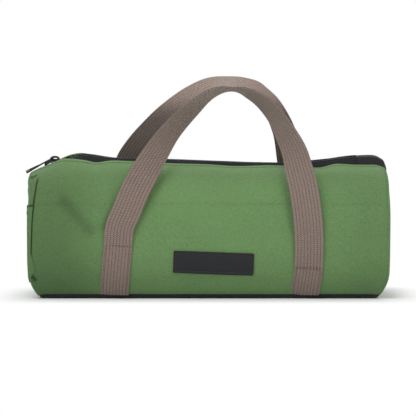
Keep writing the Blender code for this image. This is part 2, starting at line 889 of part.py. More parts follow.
def handle_route(side, left, right, rise, lean, shares):
    start = strap_foot(side, left)
    end = strap_foot(side, right)
    points = []
    for along, up, inward in shares:
        spot = start.lerp(end, along)
        spot.z += rise * up
        spot.y -= side * lean * inward
        points.append(spot)
    return smooth_route(points, steps_a_route_point)


def twist_at(share):
    at = [row[0] for row in twist_share]
    turned = [row[1] for row in twist_share]
    return float(np.interp(share, at, turned))


def ribbon_mesh(stations):
    """A strap: stations hold a middle, a width direction and a face direction."""
    bm = bmesh.new()
    rings = []
    half_width = webbing_width / 2.0
    half_thickness = webbing_thickness / 2.0
    for middle, across, out in stations:
        corners = [middle + across * (half_width * a) + out * (half_thickness * b)
                   for a, b in ((-1, -1), (1, -1), (1, 1), (-1, 1))]
        rings.append([bm.verts.new(corner) for corner in corners])
    for first, second in zip(rings, rings[1:]):
        for i in range(4):
            j = (i + 1) % 4
            bm.faces.new((first[i], first[j], second[j], second[i]))
    bm.faces.new(rings[0])
    bm.faces.new(reversed(rings[-1]))
    bmesh.ops.recalc_face_normals(bm, faces=bm.faces)
    return bm


def handle_stations(side, route, apex_tilt):
    """Directions along a handle: its outer face turns from the side down to the ground."""
    stations = []
    outward = Vector((0.0, side, 0.0))
    top = max(spot.z for spot in route)
    for i, spot in enumerate(route):
        ahead = route[min(i + 1, len(route) - 1)]
        behind = route[max(i - 1, 0)]
        along = (ahead - behind).normalized()
        face = (outward - along * outward.dot(along)).normalized()
        down = along.cross(face) * -side
        turn = twist_at(spot.z / top) * (math.pi / 2.0 - apex_tilt)
        out = face * math.cos(turn) + down * math.sin(turn)
        across = along.cross(out).normalized()
        stations.append((spot, across, out))
    return stations


def level_ends(stations, axis):
    """Cuts a strap's two ends parallel to its hinge line."""
    for index in (0, -1):
        middle, across, out = stations[index]
        across = axis if across.dot(axis) > 0.0 else -axis
        stations[index] = (middle, across, out)
    return stations


def hinge_axis(side, left, right):
    """Direction of the fold line through both stitched feet."""
    return (strap_foot(side, right) - strap_foot(side, left)).normalized()


def hinge_place(side, left):
    """A point on the fold line, on the strap's outer face."""
    spot = strap_foot(side, left)
    spot.y += side * webbing_thickness / 2.0
    return spot


def add_handle(name, side, left, right, rise, lean, shares, apex_tilt):
    route = [Vector(point) for point in handle_route(side, left, right, rise, lean, shares)]
    route[0] = route[0] + (route[1] - route[0]).normalized() * (strap_gap / 2.0)
    route[-1] = route[-1] + (route[-2] - route[-1]).normalized() * (strap_gap / 2.0)
    stations = handle_stations(side, route, apex_tilt)
    stations = level_ends(stations, hinge_axis(side, left, right))
    add_piece(name, ribbon_mesh(stations), webbing_finish(name), hinge_place(side, left))


def add_tail(name, side, foot, axis, lean):
    """The sewn end of a strap, flat on the canvas from the base seam up to its stitch line."""
    x, top = foot
    seat = offset_profile(wall_profile(), -(strap_rest + webbing_thickness / 2.0))
    low = seat[0][1]
    top -= strap_gap / 2.0
    path = [point for point in seat if point[1] < top - webbing_thickness]
    path.append((strap_seat(top), top))
    stations = []
    for i, (depth, height) in enumerate(path):
        before = path[max(i - 1, 0)]
        after = path[min(i + 1, len(path) - 1)]
        up = Vector((0.0, side * (after[0] - before[0]), after[1] - before[1])).normalized()
        spot = Vector((x - lean * (top - height) / (top - low), side * depth, height))
        out = Vector((0.0, side * up.z, -side * up.y))
        stations.append((spot, Vector((1.0, 0.0, 0.0)), out))
    spot, across, out = stations[-1]
    stations[-1] = (spot, axis, out)
    add_piece(name, ribbon_mesh(stations), webbing_finish(name))


def add_patch(name):
    """Blank patch on the front, following the canvas."""
    rows = []
    for v in spread(-patch_height / 2.0, patch_height / 2.0, 4):
        row = []
        for u in spread(-patch_width / 2.0, patch_width / 2.0, 2):
            x = patch_x + u * math.cos(patch_turn) - v * math.sin(patch_turn)
            height = patch_z + u * math.sin(patch_turn) + v * math.cos(patch_turn)
            row.append(Vector((x, FRONT * beside_skin(height, -clearance * 2.0), height)))
        rows.append(row)
    add_shell(name, grid_mesh(rows), patch_thickness, leather_finish(name), inward=False)


def add_inner_pocket(name):
    """Flat sleeve on the front wall inside, open at its top."""
    rows = []
    heights = spread(inner_pocket_low, inner_pocket_high, 5)
    for i, height in enumerate(heights):
        row = []
        columns = spread(-inner_pocket_half_length, inner_pocket_half_length, 8)
        for j, x in enumerate(columns):
            middle = 1.0 - abs(2.0 * j / (len(columns) - 1) - 1.0) ** 4
            gape = inner_pocket_gape * middle * min(1.0, 2.5 * i / (len(heights) - 1))
            depth = beside_skin(height, canvas_thickness + clearance * 2.0) - gape
            row.append(Vector((x, FRONT * depth, height)))
        rows.append(row)
    add_shell(name, grid_mesh(rows), canvas_thickness / 2.0, black_cloth_finish(name))


def add_tool_loops(name):
    """Elastic strip on the back wall inside, sewn down between loops that hold tools upright."""
    rows = []
    count = loop_count * 6
    for height in spread(loop_strip_low, loop_strip_high, 2):
        row = []
        for j, x in enumerate(spread(-loop_strip_half_length, loop_strip_half_length, count)):
            lift = loop_rise * math.sin(math.pi * j * loop_count / count) ** 2
            depth = beside_skin(height, canvas_thickness + clearance * 2.0) - lift
            row.append(Vector((x, BACK * depth, height)))
        rows.append(row)
    add_shell(name, grid_mesh(rows), loop_thickness, black_cloth_finish(name))


def smooth_round_pieces():
    for piece in bpy.data.objects:
        if piece.type == "MESH" and not piece.hide_render:
            piece.data.shade_smooth()
            piece.data.set_sharp_from_angle(angle=math.radians(35.0))


def build_bag():
    clear_scene()
    add_base_tray("base_panel")
    add_base_board("base_board")
    add_wall("front_panel", FRONT)
    add_wall("back_panel", BACK)
    front_hinge = add_empty("front_mouth_hinge", shoulder_place(FRONT))
    back_hinge = add_empty("back_mouth_hinge", shoulder_place(BACK))
    add_mouth_edge("front_mouth_edge", FRONT, front_hinge)
    add_mouth_edge("back_mouth_edge", BACK, back_hinge)
    add_tape("front_zip_tape", FRONT, front_hinge)
    add_tape("back_zip_tape", BACK, back_hinge)
    add_teeth("front_zip_teeth", FRONT, front_hinge)
    add_teeth("back_zip_teeth", BACK, back_hinge)
    add_zip_end("left_zip_end", -1.0)
    add_zip_end("right_zip_end", 1.0)
    add_zip_stop("zip_end_stop")
    add_slider("zip_slider")
    add_pull("zip_pull")
    add_end_panel("left_end_panel", -1.0)
    add_end_panel("right_end_panel", 1.0)
    add_end_pocket("left_end_pocket", -1.0)
    add_binding("left_seam_binding", -1.0)
    add_binding("right_seam_binding", 1.0)
    front_axis = hinge_axis(FRONT, front_foot_left, front_foot_right)
    back_axis = hinge_axis(BACK, back_foot_left, back_foot_right)
    add_handle("front_handle", FRONT, front_foot_left, front_foot_right, front_rise,
               front_lean_in, front_route_share, front_apex_tilt)
    add_handle("back_handle", BACK, back_foot_left, back_foot_right, back_rise,
               back_lean_in, back_route_share, back_apex_tilt)
    add_tail("front_handle_left_end", FRONT, front_foot_left, front_axis, tail_lean_left)
    add_tail("front_handle_right_end", FRONT, front_foot_right, front_axis, tail_lean_right)
    add_tail("back_handle_left_end", BACK, back_foot_left, back_axis, tail_lean_left)
    add_tail("back_handle_right_end", BACK, back_foot_right, back_axis, tail_lean_right)
    add_patch("front_patch")
    add_inner_pocket("inner_front_pocket")
    add_tool_loops("inner_tool_loops")
    smooth_round_pieces()


build_bag()
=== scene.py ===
"""Tool organizer bag: the finished looks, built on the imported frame.

Metres, +Z up. X runs along the bag, -Y is its front, and the ground is at z = 0.
"""
import contextlib
import math

import bmesh
import bpy
import numpy as np
from mathutils import Matrix, Vector, noise


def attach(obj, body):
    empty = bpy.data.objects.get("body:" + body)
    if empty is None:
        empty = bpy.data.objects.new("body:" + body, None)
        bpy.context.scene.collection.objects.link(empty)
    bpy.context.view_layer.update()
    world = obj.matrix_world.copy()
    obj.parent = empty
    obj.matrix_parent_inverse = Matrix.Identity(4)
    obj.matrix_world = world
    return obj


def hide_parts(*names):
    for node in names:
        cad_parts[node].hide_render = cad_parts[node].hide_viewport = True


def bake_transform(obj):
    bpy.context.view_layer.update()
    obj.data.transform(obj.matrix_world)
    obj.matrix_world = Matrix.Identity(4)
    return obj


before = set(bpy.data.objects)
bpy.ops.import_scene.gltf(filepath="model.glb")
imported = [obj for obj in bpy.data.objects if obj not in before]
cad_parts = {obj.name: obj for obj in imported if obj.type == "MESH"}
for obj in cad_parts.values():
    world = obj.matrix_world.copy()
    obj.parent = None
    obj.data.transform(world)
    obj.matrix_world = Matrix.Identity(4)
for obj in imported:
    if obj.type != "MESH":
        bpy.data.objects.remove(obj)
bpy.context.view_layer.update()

FRONT = -1.0
BACK = 1.0

# Barrel, as in the part's source
seam_half_length = 0.236
barrel_half_depth = 0.090
belly_height = 0.085
barrel_top = 0.1855
lower_reach = 0.092
upper_roundness = 2.2
lower_roundness = 3.0
canvas_thickness = 0.0016
base_rim_height = 0.0047
bottom_corner_reach = 0.034
bottom_corner_inset = 0.012
end_bulge_left = 0.0024
end_bulge_right = 0.0032
shoulder_angle = math.radians(39.0)
mouth_half_gap = 0.0080
mouth_left = -0.2000
mouth_right = 0.2095
left_slope_run = 0.0355
left_slope_drop = 0.0180
right_slope_run = 0.0165
right_slope_drop = 0.0130
bag_middle = (0.0, 0.0, belly_height)

# The flare at the top of the left end: how far, over which heights and places
flare_reach = 0.0034
flare_heights = (0.148, 0.172)
flare_places = (0.212, 0.236)

# How the cloth tucks into the end seams
seam_tuck = 0.0016
left_seam_tuck = 0.0008
seam_tuck_width = 0.0045

# Waves of the cloth, and how far from its edges they fade
soft_wave = 0.0011
fine_wave = 0.00025
calm_at_seam = 0.020
calm_at_base = 0.014
calm_at_hem = 0.006

# The zip's two hems as the photo shows them: place along the bag and height
front_hem_line = (
    (-0.2360, 0.1660), (-0.2290, 0.1711), (-0.2200, 0.1746), (-0.2100, 0.1793), (-0.2000, 0.1843),
    (-0.1880, 0.1843), (-0.1700, 0.1826), (-0.1625, 0.1811), (-0.1557, 0.1791), (-0.1490, 0.1790),
    (-0.1420, 0.1806), (-0.1327, 0.1817), (-0.1200, 0.1815), (-0.0900, 0.1800),
    (-0.0500, 0.1778), (0.0000, 0.1766), (0.0300, 0.1741), (0.0500, 0.1742), (0.0800, 0.1753),
    (0.1150, 0.1742), (0.1450, 0.1718), (0.1530, 0.1722), (0.1620, 0.1748), (0.1680, 0.1770),
    (0.1750, 0.1774), (0.1950, 0.1760), (0.2150, 0.1759), (0.2260, 0.1761), (0.2360, 0.1732),
)
back_hem_line = (
    (-0.2360, 0.1665), (-0.2290, 0.1712), (-0.2200, 0.1752), (-0.2100, 0.1800), (-0.2000, 0.1850),
    (-0.1900, 0.1893), (-0.1760, 0.1922), (-0.1640, 0.1908), (-0.1500, 0.1865), (-0.1300, 0.1838),
    (-0.0900, 0.1825), (-0.0500, 0.1815), (0.0000, 0.1797), (0.0500, 0.1777), (0.0960, 0.1771),
    (0.1250, 0.1785), (0.1450, 0.1801), (0.1600, 0.1816), (0.1760, 0.1841), (0.1930, 0.1857),
    (0.2090, 0.1860), (0.2200, 0.1857), (0.2290, 0.1830), (0.2360, 0.1765),
)
# Top of the tooth rows, which stand up between the hems
band_top_line = (
    (-0.2360, 0.1668), (-0.2000, 0.1861), (-0.1900, 0.1881), (-0.1760, 0.1908), (-0.1640, 0.1904),
    (-0.1500, 0.1885), (-0.1300, 0.1860), (-0.0900, 0.1847), (-0.0500, 0.1838), (0.0000, 0.1819),
    (0.0500, 0.1799), (0.0960, 0.1793), (0.1250, 0.1807), (0.1450, 0.1823), (0.1600, 0.1838),
    (0.1760, 0.1864), (0.1930, 0.1882), (0.2090, 0.1888), (0.2200, 0.1893), (0.2273, 0.1888),
    (0.2334, 0.1860), (0.2360, 0.1822),
)
hem_width = 0.0192
hem_stitch = 0.0170
hem_fold = 0.00060
hem_groove = 0.00080
hem_groove_width = 0.0009

# Where the cloth is parted for the opening mouth, under the front handle's legs
cut_left = -0.0880
cut_right = 0.1180
blend_height_share = 0.70
blend_end_share = 1.45

# Zip
tape_thickness = 0.0008
tape_width = 0.0150
tape_dip = 0.0009
tape_dip_reach = 0.0078
tape_dip_width = 0.0030
tape_curl = 0.0014
tape_curl_from = 0.0086
bead_radius = 0.0011
bead_offset = 0.0023
tooth_size = (0.0013, 0.0015, 0.0022)
tooth_half_height = 0.0012
tooth_offset = 0.0019
tooth_pitch = 0.0040
row_left = -0.2075
row_right = 0.2005
stop_size = (0.0034, 0.0062, 0.0030)

# Where the zip bends up from the slider's level, and where its teeth rise out of the hems
level_end = mouth_left + 0.012
level_places = (-0.199, -0.187)
crown_from = -0.192
crown_run = 0.022
band_fall = (0.0024, 0.0084)

# The tapes over the two top corners: how far they pass the seams, lie low and tuck in
end_tape_half_width = mouth_half_gap + 0.0015
end_tape_sink = 0.0019
left_end_overlap = 0.0038
left_end_sink = 0.0042
left_end_tuck = 0.0030
left_end_crown = 0.0008
right_end_overlap = 0.0048
right_end_sink = 0.0008
right_end_tuck = 0.0106

# Slider, and the pull from its ring outwards: each step's length and widening, and its two slots
slider_x = -0.2070
slider_level = 0.1816
slider_size = (0.0130, 0.0092, 0.0056)
slider_nose = (-0.0078, 0.0, -0.0040)
nose_taper = (1.0, 0.62, 1.15)
bail_half_size = (0.0068, 0.0017, 0.0044)
bail_thickness = 0.0029
pull_hinge = Vector((-0.21185, 0.0, 0.1856))
pull_droop = math.radians(28.0)
pull_twist = math.radians(26.0)
pull_root = (0.0040, 0.0050, 0.0019)
pull_root_place = (-0.0045, 0.0, 0.0)
pull_steps = ((0.0030, 1.45), (0.0090, 1.0), (0.0026, 1.0), (0.0170, 1.0), (0.0032, 1.0))
pull_slots = ((-0.0185, -0.0095), (-0.0381, -0.0211))
slot_edge = 0.0018

# Straps
webbing_width = 0.0381
webbing_thickness = 0.0019
rib_count = 9
rib_rise = 0.00013
front_feet = ((-0.1195, 0.0680), (0.1308, 0.0390))
back_feet = ((-0.1210, 0.0600), (0.1270, 0.0540))
tail_leans = (0.0062, 0.0045)
strap_rest = 0.0005
strap_cut_heights = (0.006, 0.024)
stitched_line_rises = (0.0038, 0.0031, 0.0024)
selvage_inset = 0.0026
front_rise = 0.2100
back_rise = 0.2289
front_lean_in = 0.0702
back_lean_in = 0.0712
front_apex_tilt = math.radians(4.0)
back_apex_tilt = math.radians(24.0)
front_route = (
    (0.000, 0.000, 0.000), (0.010, 0.130, -0.045), (0.045, 0.235, -0.060),
    (0.091, 0.375, -0.035), (0.145, 0.505, 0.045), (0.235, 0.693, 0.240),
    (0.316, 0.827, 0.450), (0.418, 0.957, 0.660), (0.503, 1.041, 0.850),
    (0.600, 1.083, 0.967), (0.674, 1.070, 0.913), (0.747, 1.030, 0.780),
    (0.821, 0.952, 0.576), (0.871, 0.858, 0.390), (0.922, 0.740, 0.185),
    (0.947, 0.636, 0.055), (0.971, 0.520, -0.060), (0.993, 0.340, -0.125),
    (1.002, 0.186, -0.100), (1.002, 0.081, -0.060), (1.000, 0.000, 0.000),
)
back_route = (
    (0.000, 0.000, 0.000), (0.006, 0.153, -0.048), (0.012, 0.297, -0.048),
    (0.021, 0.420, 0.036), (0.033, 0.516, 0.135), (0.090, 0.619, 0.260),
    (0.168, 0.723, 0.400), (0.247, 0.813, 0.540), (0.371, 0.923, 0.750),
    (0.493, 0.996, 0.917), (0.613, 1.016, 0.989), (0.729, 0.984, 0.915),
    (0.787, 0.935, 0.802), (0.848, 0.860, 0.647), (0.907, 0.733, 0.422),
    (0.939, 0.594, 0.225), (0.955, 0.488, 0.085), (0.974, 0.366, -0.028),
    (0.990, 0.236, -0.063), (0.998, 0.105, -0.049), (1.000, 0.000, 0.000),
)
twist_route = (
    (0.00, 0.00), (0.50, 0.00), (0.56, 0.07), (0.64, 0.24), (0.74, 0.43), (0.80, 0.54),
    (0.87, 0.62), (0.925, 0.71), (0.968, 0.80), (0.99, 0.89), (1.00, 1.00),
)

# Patch
patch_width = 0.1050
patch_height = 0.0285
patch_x = 0.0060
patch_z = 0.0488
patch_turn = math.radians(-2.0)
patch_corner = 0.0016
patch_stitch_inset = 0.0030
patch_edge_rows = (0.0, 0.0004, 0.0009, 0.0014, 0.0020, 0.0025, 0.0030, 0.0035, 0.0041)

# Left end pocket
pocket_top = 0.1235
pocket_foot = 0.0225
pocket_inset = 0.0060
pocket_corner = 0.0010
pocket_wrap_heights = (0.024, 0.042)
pocket_hem = 0.0116
pocket_fold = 0.0003
pocket_gape = 0.0004
pocket_gape_from = 0.085
pocket_lift = 0.0003
pocket_thickness = 0.0008
pocket_shade = 0.9
pocket_edge_shade = 1.6

# Tape that binds the end seams inside
binding_width = 0.0065
binding_thickness = 0.0008
binding_fold = 0.0012
binding_inset = 0.0042
binding_lowest = 0.0066

# Base
base_corner = 0.0100
base_rim_width = 0.0035
base_rim_rise = 0.0008
piping_radius = 0.0011

# Pocket and tool loops inside: half length, lower and upper edge
inner_pocket = (0.0900, 0.0300, 0.1050)
tool_loops = (0.1500, 0.0760, 0.0980)
tool_loop_count = 6
inner_gap = 0.0008

# Camera, with its target and its focal length in the photo's pixels
photo_width = 416.0
photo_focal = 1838.0
sensor_width = 36.0
camera_target = Vector((-0.0013, 0.0, 0.1175))
camera_distance = 2.5
camera_rise = math.radians(2.3)


# Shape of the barrel

def upper_point(angle):
    power = 2.0 / upper_roundness
    return (barrel_half_depth * max(math.cos(angle), 0.0) ** power,
            belly_height + (barrel_top - belly_height) * max(math.sin(angle), 0.0) ** power)


def lower_point(angle):
    power = 2.0 / lower_roundness
    return (barrel_half_depth * max(math.cos(angle), 0.0) ** power,
            belly_height - lower_reach * max(math.sin(angle), 0.0) ** power)


def lower_angle(height):
    return math.asin(((belly_height - height) / lower_reach) ** (lower_roundness / 2.0))


def upper_angle(depth):
    return math.acos((depth / barrel_half_depth) ** (upper_roundness / 2.0))


def cross_section():
    """Depth and height of the skin from the base seam to the zip's hem, with its running length."""
    points = [lower_point(a) for a in np.linspace(lower_angle(base_rim_height), 0.0, 160)]
    points += [upper_point(a) for a in np.linspace(0.0, upper_angle(mouth_half_gap), 200)[1:]]
    points = np.array(points)
    steps = np.hypot(*np.diff(points, axis=0).T)
    return points, np.concatenate([[0.0], np.cumsum(steps)])


section_points, section_run = cross_section()
section_length = float(section_run[-1])
hem_height = float(section_points[-1][1])
shoulder_height = upper_point(shoulder_angle)[1]


def skin_at(run):
    """Depth and height at a running length up the skin from the base seam."""
    return (float(np.interp(run, section_run, section_points[:, 0])),
            float(np.interp(run, section_run, section_points[:, 1])))


def run_at(height):
    """Running length up the skin at a height of the plain cross-section."""
    return float(np.interp(height, section_points[:, 1], section_run))


def step_up(value, low, high):
    """Rises softly from nothing at low to one at high."""
    share = min(max((value - low) / (high - low), 0.0), 1.0)
    return share * share * (3.0 - 2.0 * share)


def bell(value, middle, width):
    """One at the middle, falling softly to nothing on both sides."""
    return math.exp(-((value - middle) / width) ** 2)


def at_share(items, share):
    """The item at a share of the way along a list."""
    return items[round(share * (len(items) - 1))]


def steps_in(length, step, least):
    """How many steps of about a size go into a length."""
    return max(int(length / step), least)


def slope_drop(x, height):
    """How far the cloth drops where the barrel's top slopes down to its ends."""
    rise = max(height - belly_height, 0.0) / (barrel_top - belly_height)
    left = (mouth_left - 0.0005 - x) / left_slope_run
    right = (x - seam_half_length + right_slope_run) / right_slope_run
    if left > 0.0:
        return left_slope_drop * min(left, 1.0) ** 2 * rise ** 2
    if right > 0.0:
        return right_slope_drop * min(right, 1.0) ** 2 * rise ** 2
    return 0.0


def smooth_line(line, x):
    """Height of a hem at a place, smoothed between the points of its line."""
    places = [point[0] for point in line]
    heights = [point[1] for point in line]
    around = [np.interp(x + shift, places, heights) for shift in (-0.006, -0.003, 0.0, 0.003, 0.006)]
    return float(np.dot(around, (0.12, 0.22, 0.32, 0.22, 0.12)))


def hem_line(side, x):
    return smooth_line(front_hem_line if side == FRONT else back_hem_line, x)


def lifted(side, x, height):
    """Height of a skin point after the ends slope down and the zip's hems rise and sag."""
    share = max(height - shoulder_height, 0.0) / (hem_height - shoulder_height)
    shift = hem_line(side, x) - (hem_height - slope_drop(x, hem_height))
    return height - slope_drop(x, height) + shift * share ** 1.5


def seam_x(height):
    """Half length of the bag at its end seams, which draw in at the bottom corners."""
    share = max(bottom_corner_reach - height, 0.0) / bottom_corner_reach
    return seam_half_length - bottom_corner_inset * share ** 2


def ridge(x, z, start, end, width):
    """One at a line between two places on the cloth, falling softly to nothing beside it."""
    line = Vector((end[0] - start[0], end[1] - start[1]))
    spot = Vector((x - start[0], z - start[1]))
    along = min(max(spot.dot(line) / line.length_squared, 0.0), 1.0)
    return bell((spot - line * along).length, 0.0, width)


# Soft folds of the front cloth: from, to, width and how far the cloth stands out (or in)
front_folds = (
    ((-0.190, 0.128), (-0.157, 0.088), 0.0075, -0.0044),
    ((-0.176, 0.142), (-0.146, 0.104), 0.0110, 0.0018),
    ((-0.220, 0.060), (-0.185, 0.040), 0.0100, -0.0016),
    ((-0.215, 0.165), (-0.190, 0.172), 0.0070, -0.0010),
    ((-0.070, 0.150), (0.060, 0.158), 0.0130, -0.0010),
    ((0.170, 0.150), (0.215, 0.120), 0.0110, -0.0014),
    ((0.175, 0.060), (0.222, 0.035), 0.0110, -0.0012),
    ((0.150, 0.168), (0.205, 0.166), 0.0070, 0.0012),
    ((-0.060, 0.024), (0.080, 0.021), 0.0080, -0.0009),
)
# Painted shade in lines on the front cloth: in its deepest fold, as shadows beside the straps' edges, in the
# crease at the left top corner and in the gap at the pocket's foot. Each has from, to, width and depth of
# shade
front_shades = (
    ((-0.190, 0.128), (-0.157, 0.088), 0.0070, 0.42),
    ((-0.1035, 0.172), (-0.1385, 0.096), 0.0036, 0.50),
    ((0.0970, 0.176), (0.1085, 0.092), 0.0040, 0.45),
    ((0.1330, 0.168), (0.1465, 0.090), 0.0045, 0.35),
    ((-0.2395, 0.1606), (-0.2350, 0.1600), 0.0012, 1.8),
    ((-0.2350, 0.1600), (-0.2300, 0.1630), 0.0012, 1.8),
    ((-0.2340, 0.0318), (-0.2290, 0.0262), 0.0016, 2.2),
)
back_folds = (
    ((-0.190, 0.120), (-0.150, 0.080), 0.0130, -0.0022),
    ((-0.060, 0.150), (0.050, 0.156), 0.0130, -0.0012),
    ((0.165, 0.140), (0.210, 0.100), 0.0120, -0.0020),
    ((-0.050, 0.060), (0.040, 0.040), 0.0140, -0.0012),
)


def cloth_relief(side, x, height):
    """How far the cloth stands out from its even skin, in soft waves and folds."""
    seed = 3.0 if side == FRONT else 17.0
    soft = noise.noise(Vector((x * 11.0, height * 16.0, seed))) * soft_wave
    fine = noise.noise(Vector((x * 42.0, height * 50.0, seed + 5.0))) * fine_wave
    folds = front_folds if side == FRONT else back_folds
    out = sum(rise * ridge(x, height, start, end, width) for start, end, width, rise in folds)
    edge = min((seam_x(height) - abs(x)) / calm_at_seam, (height - base_rim_height) / calm_at_base, 1.0)
    hem = min(max(hem_height - height, 0.0) / calm_at_hem, 1.0)
    return (soft + fine + out) * max(edge, 0.0) * hem


def left_flare(x, height):
    """How far the top of the left end is pushed out past the plain seam."""
    return flare_reach * step_up(height, *flare_heights) * step_up(-x, *flare_places)


def cloth_point(side, x, run, outset=0.0):
    """A point on the canvas, at a place along the bag and a running length up from the base."""
    depth, height = skin_at(run)
    ahead = skin_at(min(run + 0.002, section_length))
    behind = skin_at(max(run - 0.002, 0.0))
    up = Vector((ahead[0] - behind[0], ahead[1] - behind[1])).normalized()
    into_seam = max(1.0 - (seam_x(height) - abs(x)) / seam_tuck_width, 0.0)
    tuck = left_seam_tuck if side == FRONT and x < 0.0 else seam_tuck
    out = outset + cloth_relief(side, x, height) - tuck * into_seam ** 2
    return Vector((x - left_flare(x, height), side * (depth + up.y * out),
                   lifted(side, x, height) - up.x * out))


def cloth_place(side, x, height, outset=0.0):
    """The same by a height of the plain cross-section."""
    return cloth_point(side, x, run_at(height), outset)


# Modelling

def pick_nothing():
    if bpy.context.mode != "OBJECT":
        bpy.ops.object.mode_set(mode="OBJECT")
    bpy.ops.object.select_all(action="DESELECT")


def pick(piece):
    pick_nothing()
    piece.select_set(True)
    bpy.context.view_layer.objects.active = piece


def named(piece, name):
    piece.name = name
    piece.data.name = name
    return piece


def new_cube(name):
    pick_nothing()
    bpy.ops.mesh.primitive_cube_add(size=1.0)
    return named(bpy.context.object, name)


@contextlib.contextmanager
def editing(piece):
    """Edit mode on a piece with all of it selected, then object mode again."""
    pick(piece)
    bpy.ops.object.mode_set(mode="EDIT")
    bpy.ops.mesh.select_all(action="SELECT")
    yield
    bpy.ops.object.mode_set(mode="OBJECT")


def pick_faces(piece, wanted):
    """Selects, in edit mode, the faces that answer."""
    bpy.ops.mesh.select_all(action="DESELECT")
    bm = bmesh.from_edit_mesh(piece.data)
    bm.normal_update()
    for face in bm.faces:
        if wanted(face.calc_center_median(), face.normal):
            face.select_set(True)
    bmesh.update_edit_mesh(piece.data)


def draw_out(piece, shift, size):
    """Draws out, in edit mode, the end that faces left, and resizes it."""
    pick_faces(piece, lambda centre, normal: normal.x < -0.9)
    bpy.ops.mesh.extrude_region_move(TRANSFORM_OT_translate={"value": shift})
    bpy.ops.transform.resize(value=size)


def pierce(piece, wanted, edge):
    """Cuts a hole, in edit mode, through the two faces that answer, with an edge left round it."""
    pick_faces(piece, wanted)
    bpy.ops.mesh.inset(thickness=edge, depth=0.0, use_individual=True)
    bpy.ops.mesh.bridge_edge_loops()


def apply_modifiers(piece):
    pick(piece)
    for modifier in list(piece.modifiers):
        bpy.ops.object.modifier_apply(modifier=modifier.name)
    return piece


def round_edges(piece, width, least_turn=30.0):
    """Rounds the edges where faces turn by at least so many degrees."""
    bevel = piece.modifiers.new("rounded edges", "BEVEL")
    bevel.width = width
    bevel.segments = 2
    bevel.limit_method = "ANGLE"
    bevel.angle_limit = math.radians(least_turn)
    return apply_modifiers(piece)


def join_to(piece, other):
    pick(piece)
    other.select_set(True)
    bpy.ops.object.join()


def settle(piece):
    """Puts a piece's place, turn and size into its mesh."""
    pick(piece)
    bpy.ops.object.transform_apply(location=True, rotation=True, scale=True)
    return piece


def merge_close(piece, distance=0.00002):
    """Joins the points where a grid meets itself."""
    with editing(piece):
        bpy.ops.mesh.remove_doubles(threshold=distance)
        bpy.ops.mesh.normals_make_consistent(inside=False)
    return piece


def close_ends(piece):
    """Fills the open ends of a tube."""
    with editing(piece):
        bpy.ops.mesh.fill_holes(sides=0)
        bpy.ops.mesh.normals_make_consistent(inside=False)


def smooth(piece, degrees=40.0):
    pick(piece)
    bpy.ops.object.shade_smooth_by_angle(angle=math.radians(degrees))
    return piece


def set_weave(cloth, measure):
    """Measures the weave anew, from each point's place and its place on the grid."""
    weave = cloth.data.uv_layers[0]
    for loop in cloth.data.loops:
        grid = tuple(weave.data[loop.index].uv)
        weave.data[loop.index].uv = measure(cloth.data.vertices[loop.vertex_index].co, grid)


def laid_cloth(name, across, along, place, width=1.0, length=1.0):
    """A flat grid laid where place(u, v) says, with its weave measured along it in metres."""
    pick_nothing()
    bpy.ops.mesh.primitive_grid_add(x_subdivisions=across, y_subdivisions=along, size=2.0)
    cloth = named(bpy.context.object, name)
    mesh = cloth.data
    flat = [((vert.co.x + 1.0) / 2.0, (vert.co.y + 1.0) / 2.0) for vert in mesh.vertices]
    for vert, (u, v) in zip(mesh.vertices, flat):
        vert.co = place(u, v)
    weave = mesh.uv_layers[0]
    weave.name = "weave"
    for loop in mesh.loops:
        u, v = flat[loop.vertex_index]
        weave.data[loop.index].uv = (u * width, v * length)
    return cloth


def face_away(cloth, centre):
    """Turns an open sheet's faces away from a point behind it."""
    middle = Vector(centre)
    score = sum(face.normal.dot(face.center - middle) * face.area for face in cloth.data.polygons)
    if score < 0.0:
        with editing(cloth):
            bpy.ops.mesh.flip_normals()
    return cloth


def thicken(cloth, thickness, offset=-1.0, round_edge=0.0, even=True):
    """Gives a sheet its thickness: to its back at -1, to both sides at 0, to its face at 1."""
    solid = cloth.modifiers.new("thickness", "SOLIDIFY")
    solid.thickness = thickness
    solid.offset = offset
    solid.use_even_offset = even
    if round_edge > 0.0:
        return round_edges(cloth, round_edge, 60.0)
    return apply_modifiers(cloth)


def copies_at(name, model, places):
    """Copies a small model to many places and joins the copies into one piece."""
    joined = bmesh.new()
    for place in places:
        copy = model.data.copy()
        copy.transform(place)
        joined.from_mesh(copy)
        bpy.data.meshes.remove(copy)
    mesh = bpy.data.meshes.new(name)
    joined.to_mesh(mesh)
    joined.free()
    piece = bpy.data.objects.new(name, mesh)
    bpy.context.scene.collection.objects.link(piece)
    return piece


def discard(*models):
    for model in models:
        bpy.data.objects.remove(model, do_unlink=True)


def basis(middle, along, across, out):
    """A matrix that carries X to along, Y to across and Z to out, at a place."""
    turn = Matrix((along, across, out)).transposed().to_4x4()
    return Matrix.Translation(middle) @ turn


def dressed(piece, finish, body, slot, *nodes):
    """Gives a finished piece its material and its body, and hides the nodes it stands for. Its slot is not
    used.
    """
    piece.data.materials.clear()
    piece.data.materials.append(finish)
    if nodes:
        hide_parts(*nodes)
    if body:
        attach(piece, body)
    return piece


# Shader groups and finishes

def new_group(name, inputs, outputs):
    tree = bpy.data.node_groups.new(name, "ShaderNodeTree")
    kinds = {"value": "NodeSocketFloat", "vector": "NodeSocketVector", "colour": "NodeSocketColor"}
    for label, kind, value in inputs:
        socket = tree.interface.new_socket(name=label, in_out="INPUT", socket_type=kinds[kind])
        if value is not None:
            socket.default_value = value
    for label, kind in outputs:
        tree.interface.new_socket(name=label, in_out="OUTPUT", socket_type=kinds[kind])
    return tree, tree.nodes.new("NodeGroupInput"), tree.nodes.new("NodeGroupOutput")


def feed(tree, socket, value):
    if isinstance(value, bpy.types.NodeSocket):
        tree.links.new(value, socket)
    elif value is not None:
        socket.default_value = value


